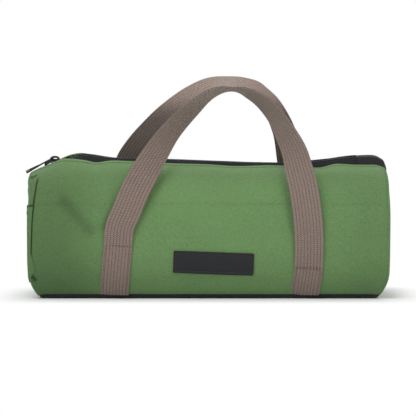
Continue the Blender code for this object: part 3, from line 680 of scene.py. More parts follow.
def maths(tree, operation, first, second=None, third=None):
    step = tree.nodes.new("ShaderNodeMath")
    step.operation = operation
    for socket, value in zip(step.inputs, (first, second, third)):
        feed(tree, socket, value)
    return step.outputs[0]


def grain(tree, place, scale, detail=2.0, roughness=0.5):
    step = tree.nodes.new("ShaderNodeTexNoise")
    feed(tree, step.inputs["Vector"], place)
    feed(tree, step.inputs["Scale"], scale)
    step.inputs["Detail"].default_value = detail
    step.inputs["Roughness"].default_value = roughness
    return step.outputs["Fac"]


def ramp(tree, value, low, high, to_low=0.0, to_high=1.0):
    step = tree.nodes.new("ShaderNodeMapRange")
    step.interpolation_type = "SMOOTHSTEP"
    for label, amount in (("Value", value), ("From Min", low), ("From Max", high),
                          ("To Min", to_low), ("To Max", to_high)):
        feed(tree, step.inputs[label], amount)
    return step.outputs["Result"]


def mixed(tree, share, first, second, blend="MIX"):
    """Two colours mixed by a share."""
    step = tree.nodes.new("ShaderNodeMix")
    step.data_type = "RGBA"
    step.blend_type = blend
    feed(tree, step.inputs[0], share)
    feed(tree, step.inputs[6], first)
    feed(tree, step.inputs[7], second)
    return step.outputs[2]


def shaded(tree, colour, red, green, blue):
    """A colour times an amount for each of its parts."""
    return mixed(tree, 1.0, colour, (red, green, blue, 1.0), "MULTIPLY")


def split(tree, vector):
    step = tree.nodes.new("ShaderNodeSeparateXYZ")
    feed(tree, step.inputs[0], vector)
    return step.outputs


def hump(tree, value, half_waves=1.0):
    """The size of a sine with so many half waves to each whole step of a value."""
    turn = maths(tree, "MULTIPLY", value, math.pi * half_waves)
    return maths(tree, "ABSOLUTE", maths(tree, "SINE", turn))


def swayed(tree, base, value, middle, amount):
    """A base that rises and falls as a value goes above and below its middle."""
    return maths(tree, "MULTIPLY_ADD", maths(tree, "SUBTRACT", value, middle), amount, base)


def plain_weave_group():
    """Yarns that pass over and under each other, measured on the cloth in metres."""
    tree, given, result = new_group(
        "plain weave",
        (("Cloth", "vector", None), ("Yarn Width", "value", 0.0009), ("Slub", "value", 0.5)),
        (("Height", "value"), ("Warp On Top", "value"), ("Gap", "value")))
    across, up, _ = split(tree, given.outputs["Cloth"])
    wander = grain(tree, given.outputs["Cloth"], 90.0, 1.0)
    wander = maths(tree, "MULTIPLY", maths(tree, "SUBTRACT", wander, 0.5), 0.0008)
    u = maths(tree, "DIVIDE", maths(tree, "ADD", across, wander), given.outputs["Yarn Width"])
    v = maths(tree, "DIVIDE", maths(tree, "ADD", up, wander), given.outputs["Yarn Width"])
    cell = maths(tree, "ADD", maths(tree, "FLOOR", u), maths(tree, "FLOOR", v))
    parity = hump(tree, cell, 0.5)
    top = maths(tree, "MULTIPLY", parity, maths(tree, "POWER", hump(tree, u), 0.6))
    low = maths(tree, "MULTIPLY", maths(tree, "SUBTRACT", 1.0, parity),
                maths(tree, "POWER", hump(tree, v), 0.6))
    yarn = maths(tree, "ADD", top, low)
    slub = grain(tree, given.outputs["Cloth"], 1400.0, 2.0)
    yarn = swayed(tree, yarn, slub, 0.5, given.outputs["Slub"])
    feed(tree, result.inputs["Height"], yarn)
    feed(tree, result.inputs["Warp On Top"], parity)
    feed(tree, result.inputs["Gap"], ramp(tree, yarn, 0.45, 0.05))
    return tree


def dye_group():
    """Uneven dye: cloudy patches and fine flecks, lighter or darker by each point's wear value, which holds
    real wear and also painted highlight and shade.
    """
    tree, given, result = new_group(
        "uneven dye",
        (("Place", "vector", None), ("Colour", "colour", (0.1, 0.1, 0.1, 1.0)),
         ("Cloud", "value", 0.12), ("Fleck", "value", 0.18), ("Wear", "value", 0.0)),
        (("Colour", "colour"), ("Roughness Shift", "value")))
    cloud = grain(tree, given.outputs["Place"], 14.0, 3.0)
    fleck = maths(tree, "ADD", grain(tree, given.outputs["Place"], 620.0, 2.0, 0.6),
                  grain(tree, given.outputs["Place"], 400.0, 3.0, 0.7))
    shade = swayed(tree, 1.0, cloud, 0.5, given.outputs["Cloud"])
    shade = swayed(tree, shade, fleck, 1.0, given.outputs["Fleck"])
    # Above nothing the wear value lightens and below it darkens: real wear, painted highlight and painted
    # shade together.
    wear_and_light_factor = maths(tree, "MULTIPLY_ADD", given.outputs["Wear"], 0.35, 1.0)
    shade = maths(tree, "MULTIPLY", shade, maths(tree, "MAXIMUM", wear_and_light_factor, 0.2))
    tint = tree.nodes.new("ShaderNodeCombineColor")
    for socket in tint.inputs[:3]:
        feed(tree, socket, shade)
    feed(tree, result.inputs["Colour"],
         mixed(tree, 1.0, given.outputs["Colour"], tint.outputs[0], "MULTIPLY"))
    feed(tree, result.inputs["Roughness Shift"],
         maths(tree, "MULTIPLY", maths(tree, "SUBTRACT", cloud, 0.5), 0.10))
    return tree


def webbing_group():
    """Ribbed webbing: a slanting twill on each lengthwise rib and dark grooves between ribs."""
    tree, given, result = new_group(
        "ribbed webbing",
        (("Cloth", "vector", None), ("Rib Width", "value", 0.0042), ("Yarn Width", "value", 0.0024)),
        (("Height", "value"), ("Groove", "value"), ("Yarn", "value")))
    across, up, _ = split(tree, given.outputs["Cloth"])
    ribs = maths(tree, "DIVIDE", across, given.outputs["Rib Width"])
    rib = hump(tree, ribs)
    side = maths(tree, "SUBTRACT", maths(tree, "FRACT", ribs), 0.5)
    chevron = maths(tree, "MULTIPLY", maths(tree, "ABSOLUTE", side), given.outputs["Rib Width"])
    slant = maths(tree, "ADD", up, chevron)
    yarns = maths(tree, "DIVIDE", slant, given.outputs["Yarn Width"])
    yarn = hump(tree, yarns)
    fuzz = grain(tree, given.outputs["Cloth"], 1500.0, 2.0)
    height = maths(tree, "ADD", maths(tree, "MULTIPLY", maths(tree, "POWER", rib, 0.5), 1.4),
                   maths(tree, "MULTIPLY", yarn, 0.6))
    height = maths(tree, "MULTIPLY_ADD", fuzz, 0.4, height)
    feed(tree, result.inputs["Height"], height)
    feed(tree, result.inputs["Groove"], ramp(tree, rib, 0.42, 0.05))
    feed(tree, result.inputs["Yarn"], yarn)
    return tree


def leather_group():
    """Fine pebbled grain with soft creases."""
    tree, given, result = new_group(
        "leather grain", (("Place", "vector", None), ("Pebble", "value", 1100.0)),
        (("Height", "value"), ("Crease", "value")))
    cells = tree.nodes.new("ShaderNodeTexVoronoi")
    cells.feature = "DISTANCE_TO_EDGE"
    feed(tree, cells.inputs["Vector"], given.outputs["Place"])
    feed(tree, cells.inputs["Scale"], given.outputs["Pebble"])
    pebble = ramp(tree, cells.outputs["Distance"], 0.0, 0.25)
    crease = grain(tree, given.outputs["Place"], 60.0, 4.0, 0.65)
    feed(tree, result.inputs["Height"],
         maths(tree, "MULTIPLY_ADD", crease, 0.8, maths(tree, "MULTIPLY", pebble, 0.7)))
    feed(tree, result.inputs["Crease"], ramp(tree, crease, 0.62, 0.72))
    return tree


def use_group(tree, group, **values):
    step = tree.nodes.new("ShaderNodeGroup")
    step.node_tree = group
    for label, value in values.items():
        feed(tree, step.inputs[label.replace("_", " ")], value)
    return step.outputs


def new_finish(name, **shader_values):
    finish = bpy.data.materials.new(name)
    finish.use_nodes = True
    tree = finish.node_tree
    shader = tree.nodes["Principled BSDF"]
    for label, value in shader_values.items():
        shader.inputs[label.replace("_", " ")].default_value = value
    return finish, tree, shader


def cloth_map(tree):
    step = tree.nodes.new("ShaderNodeUVMap")
    step.uv_map = "weave"
    return step.outputs["UV"]


def object_place(tree):
    return tree.nodes.new("ShaderNodeTexCoord").outputs["Object"]


def bump(tree, shader, height, distance, strength=1.0, under=None):
    step = tree.nodes.new("ShaderNodeBump")
    step.inputs["Strength"].default_value = strength
    step.inputs["Distance"].default_value = distance
    feed(tree, step.inputs["Height"], height)
    if under is not None:
        feed(tree, step.inputs["Normal"], under)
    feed(tree, shader.inputs["Normal"], step.outputs[0])
    return step.outputs[0]


def attribute(tree, name):
    step = tree.nodes.new("ShaderNodeAttribute")
    step.attribute_name = name
    return step.outputs["Fac"]


def woven_finish(name, colour, yarn, depth, roughness, cloud=0.12, fleck=0.2, gap_shade=0.55,
                 sheen=0.2):
    finish, tree, shader = new_finish(name, Roughness=roughness, Sheen_Weight=sheen,
                                      Sheen_Roughness=0.5, Specular_IOR_Level=0.25)
    weave = use_group(tree, groups["weave"], Cloth=cloth_map(tree), Yarn_Width=yarn)
    dye = use_group(tree, groups["dye"], Place=object_place(tree), Colour=(*colour, 1.0),
                    Cloud=cloud, Fleck=fleck, Wear=attribute(tree, "wear_and_painted_light"))
    dark = shaded(tree, dye["Colour"], gap_shade, gap_shade, gap_shade)
    weft = shaded(tree, dye["Colour"], 0.93, 0.93, 0.95)
    yarns = mixed(tree, weave["Warp On Top"], weft, dye["Colour"])
    feed(tree, shader.inputs["Base Color"], mixed(tree, weave["Gap"], yarns, dark))
    feed(tree, shader.inputs["Roughness"],
         maths(tree, "ADD", dye["Roughness Shift"], roughness))
    bump(tree, shader, weave["Height"], depth)
    return finish


def webbing_finish():
    finish, tree, shader = new_finish("taupe webbing", Sheen_Weight=0.25, Sheen_Roughness=0.4,
                                      Specular_IOR_Level=0.3)
    web = use_group(tree, groups["webbing"], Cloth=cloth_map(tree),
                    Rib_Width=webbing_width / rib_count)
    dye = use_group(tree, groups["dye"], Place=object_place(tree), Colour=(0.174, 0.131, 0.111, 1.0),
                    Cloud=0.10, Fleck=0.55, Wear=attribute(tree, "wear_and_painted_light"))
    # Painted shade in the grooves between ribs, and each slanting yarn painted from shaded to lit across its
    # hump.
    dark = shaded(tree, dye["Colour"], 0.56, 0.54, 0.52)
    low = shaded(tree, dye["Colour"], 0.28, 0.27, 0.26)
    light = shaded(tree, dye["Colour"], 1.78, 1.78, 1.78)
    yarns = mixed(tree, web["Yarn"], low, light)
    feed(tree, shader.inputs["Base Color"], mixed(tree, web["Groove"], yarns, dark))
    feed(tree, shader.inputs["Roughness"], maths(tree, "ADD", dye["Roughness Shift"], 0.74))
    bump(tree, shader, web["Height"], 0.00034)
    return finish


def leather_finish():
    finish, tree, shader = new_finish("patch leather", Specular_IOR_Level=0.25)
    place = object_place(tree)
    leather = use_group(tree, groups["leather"], Place=place)
    dye = use_group(tree, groups["dye"], Place=place, Colour=(0.015, 0.0155, 0.0175, 1.0),
                    Cloud=0.25, Fleck=0.25, Wear=attribute(tree, "wear_and_painted_light"))
    pale = shaded(tree, dye["Colour"], 1.5, 1.5, 1.5)
    feed(tree, shader.inputs["Base Color"], mixed(tree, leather["Crease"], dye["Colour"], pale))
    feed(tree, shader.inputs["Roughness"], ramp(tree, leather["Height"], 0.2, 1.2, 0.74, 0.60))
    bump(tree, shader, leather["Height"], 0.00010)
    return finish


def enamel_finish():
    """Black enamel on metal, rubbed on its edges and faces by use."""
    finish, tree, shader = new_finish("slider enamel", Specular_IOR_Level=0.5, Coat_Weight=0.35,
                                      Coat_Roughness=0.12)
    place = object_place(tree)
    rub = ramp(tree, grain(tree, place, 420.0, 4.0, 0.7), 0.64, 0.76)
    scratch = grain(tree, place, 1600.0, 2.0)
    feed(tree, shader.inputs["Base Color"],
         mixed(tree, rub, (0.012, 0.012, 0.014, 1.0), (0.13, 0.125, 0.12, 1.0)))
    feed(tree, shader.inputs["Metallic"], ramp(tree, rub, 0.0, 1.0, 0.75, 1.0))
    feed(tree, shader.inputs["Roughness"], ramp(tree, scratch, 0.2, 0.8, 0.26, 0.42))
    bump(tree, shader, scratch, 0.00003)
    return finish


def tooth_finish():
    finish, tree, shader = new_finish("tooth plastic", Specular_IOR_Level=0.5)
    place = object_place(tree)
    mark = grain(tree, place, 900.0, 3.0)
    feed(tree, shader.inputs["Base Color"],
         mixed(tree, mark, (0.013, 0.013, 0.015, 1.0), (0.024, 0.024, 0.026, 1.0)))
    feed(tree, shader.inputs["Roughness"], ramp(tree, mark, 0.3, 0.7, 0.32, 0.46))
    bump(tree, shader, mark, 0.00003)
    return finish


def board_finish():
    finish, tree, shader = new_finish("base board plastic", Specular_IOR_Level=0.4)
    place = object_place(tree)
    pebble = tree.nodes.new("ShaderNodeTexVoronoi")
    feed(tree, pebble.inputs["Vector"], place)
    pebble.inputs["Scale"].default_value = 700.0
    scuff = grain(tree, place, 35.0, 5.0, 0.7)
    feed(tree, shader.inputs["Base Color"],
         mixed(tree, ramp(tree, scuff, 0.55, 0.75), (0.028, 0.028, 0.029, 1.0), (0.055, 0.055, 0.056, 1.0)))
    feed(tree, shader.inputs["Roughness"], ramp(tree, scuff, 0.3, 0.8, 0.52, 0.68))
    bump(tree, shader, pebble.outputs["Distance"], 0.00012)
    return finish


def thread_finish(name, colour):
    """Twisted sewing thread."""
    finish, tree, shader = new_finish(name, Sheen_Weight=0.2, Specular_IOR_Level=0.35)
    ply = grain(tree, object_place(tree), 2600.0, 1.0)
    dark = tuple(part * 0.72 for part in colour)
    light = tuple(part * 1.25 for part in colour)
    feed(tree, shader.inputs["Base Color"], mixed(tree, ply, (*dark, 1.0), (*light, 1.0)))
    feed(tree, shader.inputs["Roughness"], ramp(tree, ply, 0.2, 0.8, 0.70, 0.85))
    bump(tree, shader, ply, 0.00006)
    return finish


groups = {"weave": plain_weave_group(), "dye": dye_group(), "webbing": webbing_group(),
          "leather": leather_group()}
green_canvas = woven_finish("green canvas", (0.146, 0.268, 0.100), yarn=0.00095, depth=0.00018,
                            roughness=0.88, cloud=0.16, fleck=0.55, gap_shade=0.52, sheen=0.06)
taupe_webbing = webbing_finish()
black_base_cloth = woven_finish("black base cloth", (0.015, 0.015, 0.018), yarn=0.0007, depth=0.00008,
                                roughness=0.62, cloud=0.2, gap_shade=0.7, sheen=0.05)
black_zip_tape = woven_finish("black zip tape", (0.014, 0.014, 0.017), yarn=0.0006, depth=0.00010,
                              roughness=0.80, cloud=0.1, fleck=0.25, gap_shade=0.6)
black_binding = woven_finish("black binding tape", (0.015, 0.015, 0.018), yarn=0.0008, depth=0.00012,
                             roughness=0.82)
black_lining = woven_finish("black lining", (0.020, 0.020, 0.022), yarn=0.0005, depth=0.00006,
                            roughness=0.75)
black_elastic = woven_finish("black elastic", (0.020, 0.020, 0.022), yarn=0.0012, depth=0.00025,
                             roughness=0.78)
black_leather = leather_finish()
black_enamel = enamel_finish()
black_teeth = tooth_finish()
board_plastic = board_finish()
green_thread = thread_finish("green thread", (0.085, 0.155, 0.060))
taupe_thread = thread_finish("taupe thread", (0.026, 0.026, 0.018))
black_thread = thread_finish("black thread", (0.030, 0.030, 0.034))


def set_wear_and_painted_light(piece, amount):
    """Writes each point's wear value, which holds real wear and also painted highlight and shade; its finish
    lightens above nothing and darkens below.
    """
    wear_and_painted_light = piece.data.attributes.get("wear_and_painted_light") or piece.data.attributes.new("wear_and_painted_light", "FLOAT", "POINT")
    values = [amount(vert.co) for vert in piece.data.vertices]
    wear_and_painted_light.data.foreach_set("value", values)
    return piece


# The pieces of the mouth, in three parts along the bag

def mouth_blend(piece, side, part):
    """Works out how a piece of the mouth would bend from its shoulder to its hem, fading at the zip's ends
    for the end parts, but does not bend it; it only puts the piece's place into its mesh.
    """
    depth, height = upper_point(shoulder_angle)
    start = Vector((0.0, side * depth, height))
    hem = Vector((0.0, side * mouth_half_gap, hem_height))
    rise = (hem - start) * blend_height_share
    slope = rise / rise.length_squared
    if part == "left":
        start.x = cut_left
        slope.x = blend_end_share / (cut_left - mouth_left)
    elif part == "right":
        start.x = cut_right
        slope.x = -blend_end_share / (mouth_right - cut_right)
    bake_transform(piece)


mouth_parts = (("left", -seam_half_length, cut_left), ("middle", cut_left, cut_right),
               ("right", cut_right, seam_half_length))


def side_name(side):
    return "front" if side == FRONT else "back"


def end_name(sign):
    return "left" if sign < 0.0 else "right"


# Small models that repeat

def stitch_model(length=0.0029, width=0.00075):
    """One stitch of thread: a slim bead whose ends dive into the cloth."""
    pick_nothing()
    bpy.ops.mesh.primitive_uv_sphere_add(segments=6, ring_count=6, radius=0.5)
    stitch = named(bpy.context.object, "stitch model")
    with editing(stitch):
        bpy.ops.transform.rotate(value=math.pi / 2.0, orient_axis="Y", center_override=(0.0, 0.0, 0.0))
        bpy.ops.transform.resize(value=(length, width, width))
    for vert in stitch.data.vertices:
        vert.co.z -= 0.25 * width * (2.0 * vert.co.x / length) ** 2
    return smooth(stitch, 80.0)


def tooth_model():
    """One tooth of the zip, as a plain block."""
    tooth = new_cube("tooth model")
    with editing(tooth):
        bpy.ops.transform.resize(value=tooth_size)
    return smooth(tooth, 50.0)


stitch = stitch_model()
tooth = tooth_model()


def stitch_row(path, spacing=0.0042):
    """Places of stitches along a path of (point, out) pairs."""
    places = []
    carried = spacing / 2.0
    for (first, out), (second, _) in zip(path, path[1:]):
        run = second - first
        length = run.length
        if length < 1e-6:
            continue
        along = run / length
        while carried < length:
            across = out.cross(along).normalized()
            places.append(basis(first + along * carried, along, across, along.cross(across)))
            carried += spacing
        carried -= length
    return places


# Canvas sides

# Steps of the cloth's grid from its left seam, from its right seam and from its hem
left_seam_steps = (0.0, 0.0008, 0.0020, 0.0030, 0.0038, 0.0046, 0.0054, 0.0062, 0.0070, 0.0078, 0.0086,
                   0.0094, 0.0103, 0.0114)
right_seam_steps = (0.0020, 0.0008, 0.0)
hem_rows = (0.0215, 0.0196, 0.0189, 0.0182, 0.0176, 0.0170, 0.0164, 0.0158, 0.0150, 0.0130, 0.0105,
            0.0075, 0.0045, 0.0020, 0.0008, 0.0)

# The left end's stitched line: its width and groove, and the heights over which it comes and goes
seam_line_width = 0.0010
seam_line_groove = 0.0012
seam_line_start = (0.050, 0.066)
seam_line_end = (0.156, 0.162)

# How much paler the canvas is along its hem, how deep the painted shade is elsewhere and how much of it is
# taken off near the top
hem_paling = 0.30
hem_paling_width = 0.016
stitched_shade = 1.10
stitched_shade_width = 0.0010
left_shade = 0.95
left_shade_places = (-0.205, -0.105)
right_shade = 0.40
right_shade_places = (0.150, 0.215)
top_light = 0.6
top_light_heights = (0.140, 0.180)
foot_shade = 0.28
foot_shade_heights = (0.020, 0.075)
pocket_gap_shade = 2.2
pocket_gap_width = 0.0009
seam_line_shade = 2.4
left_end_shade = 0.45
right_end_shade = 0.20


def canvas_columns(low, high):
    """Places along the bag, closer together at the seams."""
    places = list(np.linspace(low, high, steps_in(high - low, 0.0032, 8) + 1))
    if low == -seam_half_length:
        places = [low + step for step in left_seam_steps] + [x for x in places if x > low + 0.0128]
    if high == seam_half_length:
        places = places[:-2] + [high - step for step in right_seam_steps]
    return places


def canvas_rows():
    """Running lengths up the cloth, closer together over the pocket, at the crease and in the hem."""
    rows = list(np.linspace(0.0, section_length - 0.0240, 66))
    rows += [run_at(pocket_top + 0.0028) + step for step in (-0.0012, -0.0004, 0.0004, 0.0012, 0.0020)]
    rows += list(np.linspace(run_at(0.158), run_at(0.172), 16))
    return sorted(rows) + [section_length - drop for drop in hem_rows]


def left_seam_line(height):
    """Where the left end's welt is stitched through the front: a dark line beside the end."""
    return float(np.interp(height, (0.018, 0.025, 0.050, 0.063, 0.107, 0.130, 0.151, 0.160),
                           (-0.2245, -0.2257, -0.2310, -0.2340, -0.2323, -0.2303, -0.2282, -0.2269)))


def seam_line(side, x, height):
    """One on the left end's stitched line at the front, nothing beside it."""
    if side == BACK:
        return 0.0
    shown = step_up(height, *seam_line_start) * (1.0 - step_up(height, *seam_line_end))
    return bell(x, left_seam_line(height), seam_line_width) * shown


def canvas_paling_and_painted_shade(side, co):
    """Paler along the hem; painted shade along stitched lines, low down, towards the ends, and at the front
    in folds, beside the straps and over the pocket's top.
    """
    wear_and_painted_light = hem_paling * max(0.0, 1.0 - abs(abs(co.y) - mouth_half_gap) / hem_paling_width)
    if co.z > shoulder_height:
        stitched = skin_at(section_length - hem_stitch)[0]
        wear_and_painted_light -= stitched_shade * bell(abs(co.y), stitched, stitched_shade_width)
    below_top = 1.0 - top_light * step_up(co.z, *top_light_heights)
    wear_and_painted_light -= left_shade * (1.0 - step_up(co.x, *left_shade_places)) * below_top
    wear_and_painted_light -= right_shade * step_up(co.x, *right_shade_places) * below_top
    wear_and_painted_light -= foot_shade * (1.0 - step_up(co.z, *foot_shade_heights))
    if side == FRONT:
        wear_and_painted_light -= sum(depth * ridge(co.x, co.z, start, end, width) for start, end, width, depth in front_shades)
        if co.x < left_seam_line(co.z) + 0.0004:
            wear_and_painted_light -= pocket_gap_shade * bell(co.z, pocket_top + 0.0005, pocket_gap_width)
    return wear_and_painted_light - seam_line_shade * seam_line(side, co.x, co.z)


def add_canvas(side, part, low, high):
    """One length of a canvas side, from the base seam to the folded hem beside the zip."""
    columns = canvas_columns(low, high)
    rows = canvas_rows()

    def place(u, v):
        run = at_share(rows, v)
        height = skin_at(run)[1]
        x = max(min(at_share(columns, u), seam_x(height)), -seam_x(height))
        from_hem = section_length - run
        rise = hem_fold if from_hem < hem_width else 0.0
        rise -= hem_groove * bell(from_hem, hem_stitch, hem_groove_width)
        rise -= seam_line_groove * seam_line(side, x, height)
        return cloth_point(side, x, run, rise)

    cloth = laid_cloth(side_name(side) + "_canvas_" + part, len(columns) - 1, len(rows) - 1, place,
                       high - low, section_length)
    set_weave(cloth, lambda co, grid: (co.x, grid[1]))
    face_away(cloth, bag_middle)
    merge = cloth.modifiers.new("merge", "WELD")
    merge.merge_threshold = 0.00001
    thicken(cloth, canvas_thickness)
    set_wear_and_painted_light(cloth, lambda co: canvas_paling_and_painted_shade(side, co))
    smooth(cloth)
    nodes = [side_name(side) + "_panel", side_name(side) + "_mouth_edge"]
    dressed(cloth, green_canvas, None, "canvas", *nodes)
    mouth_blend(cloth, side, part)


def add_hem_stitches(side, part, low, high):
    """The row of stitches that holds the folded hem beside the zip."""
    run = section_length - hem_stitch
    path = []
    for x in np.linspace(low + 0.003, high - 0.003, steps_in(high - low, 0.006, 3)):
        behind, spot, ahead = (cloth_point(side, x, run + shift, 0.00012) for shift in (-0.003, 0.0, 0.003))
        out = Vector((1.0, 0.0, 0.0)).cross((ahead - behind).normalized())
        path.append((spot, -out if out.z < 0.0 else out))
    row = copies_at(side_name(side) + "_hem_stitches_" + part, stitch, stitch_row(path))
    dressed(row, green_thread, None, "canvas")
    mouth_blend(row, side, part)


# Ends

# Creases of the two ends: from, to, width and how far the cloth stands in
left_end_creases = (
    ((-0.062, 0.150), (0.030, 0.166), 0.0060, -0.0022),
    ((-0.078, 0.036), (-0.040, 0.020), 0.0060, -0.0018),
)
right_end_creases = (
    ((-0.060, 0.140), (0.020, 0.160), 0.0080, -0.0012),
    ((-0.070, 0.040), (-0.020, 0.060), 0.0090, -0.0010),
)
# Steps of an end's grid from its seam to its middle, as shares of the way
end_steps = (0.0, 0.010, 0.022, 0.036, 0.055, 0.08, 0.11, 0.145, 0.185, 0.23, 0.28, 0.335, 0.39, 0.45,
             0.51, 0.57, 0.63, 0.69, 0.75, 0.81, 0.87, 0.92, 0.96, 1.0)
# The ends bulge a little more at their top, and turn in at their seam
end_lift = 0.0012
end_lift_heights = (0.136, 0.156)
end_tuck_width = 0.045


def ring_outline(sign):
    """Ring of an end seam, from the middle of the base round the front and back again."""
    base_depth = float(section_points[0][0])
    half = [(depth, base_rim_height / 2.0) for depth in np.linspace(0.0, base_depth, 16)[:-1]]
    half += [skin_at(run) for run in np.linspace(0.0, section_length, 70)]
    seam = sign * seam_half_length
    ring = []
    for side in (FRONT, BACK):
        points = []
        for depth, height in half:
            x = sign * seam_x(height)
            points.append(Vector((x - left_flare(x, height), side * depth, lifted(side, seam, height))))
        top = lifted(side, seam, hem_height)
        points += [Vector((points[-1].x, side * mouth_half_gap * share, top)) for share in (0.66, 0.33)]
        ring += points if side == FRONT else points[::-1]
    return ring


def even_ring(points, count):
    """The same closed ring in a number of even steps."""
    closed = points + [points[0]]
    run = [0.0]
    for first, second in zip(closed, closed[1:]):
        run.append(run[-1] + (second - first).length)
    places = np.linspace(0.0, run[-1], count + 1)[:-1]
    axes = [np.interp(places, run, [point[i] for point in closed]) for i in range(3)]
    return [Vector(point) for point in zip(*axes)]


def end_centre(sign):
    return Vector((sign * seam_half_length, 0.0, belly_height))


def dome_rise(sign, reach):
    return (end_bulge_left if sign < 0.0 else end_bulge_right) * (1.0 - reach ** 4)


def end_relief(sign, y, z):
    """Soft creases of a cloth end, deeper on the left, where it has slumped."""
    seed, creases = (31.0, left_end_creases) if sign < 0.0 else (47.0, right_end_creases)
    out = noise.noise(Vector((y * 18.0, z * 18.0, seed))) * 0.0010
    for start, end, width, rise in creases:
        out += rise * ridge(y, z, start, end, width)
    return out


end_flat = canvas_thickness + 0.0003
end_rings = {sign: even_ring(ring_outline(sign), 168) for sign in (-1.0, 1.0)}


def end_point(sign, index, reach, outset=0.0):
    """A point of an end panel on a spoke of its ring, at a share of the way out from its middle."""
    ring = end_rings[sign]
    centre = end_centre(sign)
    spot = centre + (ring[index % len(ring)] - centre) * reach
    calm = max(min((1.0 - reach) / 0.12, 1.0), 0.0)
    out = dome_rise(sign, reach) + end_relief(sign, spot.y, spot.z) * calm
    out += end_lift * step_up(spot.z, *end_lift_heights) * (1.0 - reach ** 12)
    tuck = left_seam_tuck if sign < 0.0 else seam_tuck
    out -= tuck * max(1.0 - (1.0 - reach) / end_tuck_width, 0.0) ** 2
    spot.x += sign * (end_flat + out + outset)
    return spot


def add_end(sign):
    """Domed end panel, laid in spokes from its seam to its middle."""
    count = len(end_rings[sign])

    def place(u, v):
        return end_point(sign, round(u * count), 1.0 - at_share(end_steps, v))

    cloth = laid_cloth(end_name(sign) + "_end_canvas", count, len(end_steps) - 1, place)
    merge_close(cloth)
    set_weave(cloth, lambda co, grid: (co.y, co.z))
    face_away(cloth, bag_middle)
    thicken(cloth, canvas_thickness, -1.0, 0.0004)
    # Painted shade: the whole end panel is darkened, the left one more than the right.
    set_wear_and_painted_light(cloth, lambda co: -left_end_shade if sign < 0.0 else -right_end_shade)
    smooth(cloth)
    dressed(cloth, green_canvas, "bag", "canvas", end_name(sign) + "_end_panel")


def dome_surface(sign, y, z, outset=0.0):
    """A point of the end panel over a place in its plane."""
    centre = end_centre(sign)
    ring = end_rings[sign]
    angle = math.atan2(y - centre.y, z - centre.z)
    angles = [math.atan2(point.y, point.z - centre.z) for point in ring]
    best = min(range(len(ring)), key=lambda i: abs(math.remainder(angles[i] - angle, math.tau)))
    rim = ring[best] - centre
    reach = min(math.hypot(y, z - centre.z) / math.hypot(rim.y, rim.z), 1.0)
    return Vector((end_point(sign, best, reach, outset).x, y, z))


def skin_depth(height):
    return float(np.interp(height, section_points[:, 1], section_points[:, 0]))


def add_pocket():
    """Outside pocket on the left end, with a folded hem along its open top."""
    rows = list(np.linspace(pocket_foot, pocket_top - 0.013, 34))
    rows += [pocket_top - drop for drop in (0.0118, 0.0112, 0.0095, 0.0060, 0.0030, 0.0018, 0.0008, 0.0)]

    def place(u, v):
        height = at_share(rows, v)
        half = skin_depth(height) - pocket_corner
        wrap = left_seam_line(height) + seam_half_length + 0.0006
        front_reach = half + wrap * step_up(height, *pocket_wrap_heights)
        spread = (2.0 * u - 1.0) * (front_reach if u < 0.5 else half - pocket_inset)
        fold = pocket_fold if height > pocket_top - pocket_hem else 0.0
        if -spread > half:
            x = -seam_half_length - pocket_corner + (-spread - half)
            return cloth_place(FRONT, x, height + 1.08 * slope_drop(x, height), 0.0002 + fold * 0.5)
        middle = 1.0 - (spread / half) ** 4
        near_top = max((height - pocket_gape_from) / (pocket_top - pocket_gape_from), 0.0)
        gape = pocket_gape * middle * near_top ** 2
        return dome_surface(-1.0, spread, height, pocket_lift + gape + fold)

    cloth = laid_cloth("left_end_pocket_canvas", 110, len(rows) - 1, place)
    set_weave(cloth, lambda co, grid: (co.y, co.z))
    face_away(cloth, bag_middle)
    thicken(cloth, pocket_thickness, 1.0)
    # Painted shade over the whole pocket, darkest in a line along its top edge where the hem casts its
    # shadow.
    top_edge = (pocket_top - 0.0018, pocket_top - 0.0006)
    set_wear_and_painted_light(cloth, lambda co: -pocket_shade - pocket_edge_shade * step_up(co.z, *top_edge))
    smooth(cloth)
    dressed(cloth, green_canvas, "bag", "canvas", "left_end_pocket")
    places = []
    for drop in (0.0085, 0.0105):
        height = pocket_top - drop
        half = skin_depth(height) - pocket_inset - 0.004
        path = [(dome_surface(-1.0, y, height, 0.0018 + pocket_gape * (1.0 - (y / half) ** 4)),
                 Vector((-1.0, 0.0, 0.0))) for y in np.linspace(-half, half, 50)]
        places += stitch_row(path)
    dressed(copies_at("left_pocket_stitches", stitch, places), green_thread, "bag", "canvas")


def add_binding(sign):
    """Folded tape that binds the end seam's raw edges inside the bag."""
    inner = []
    for point in even_ring(ring_outline(sign), 150):
        flat = Vector((0.0, point.y, point.z - belly_height))
        flat *= 1.0 - binding_inset / flat.length
        height = max(flat.z + belly_height, binding_lowest)
        inner.append(Vector((sign * (seam_x(height) - 0.0012), flat.y, height)))

    def place(u, v):
        point = inner[round(u * len(inner)) % len(inner)]
        toward = Vector((0.0, -point.y, belly_height - point.z)).normalized()
        spot = point + toward * (binding_fold * math.sin(math.pi * v))
        spot.x -= sign * binding_width * v
        return spot

    name = end_name(sign) + "_seam_binding"
    tape = laid_cloth(name + "_tape", len(inner), 6, place, 0.55, binding_width)
    merge_close(tape)
    face_away(tape, (sign * seam_half_length, 0.0, belly_height))
    thicken(tape, binding_thickness, -1.0)
    smooth(tape)
    dressed(tape, black_binding, "bag", "binding", name)


# Zip

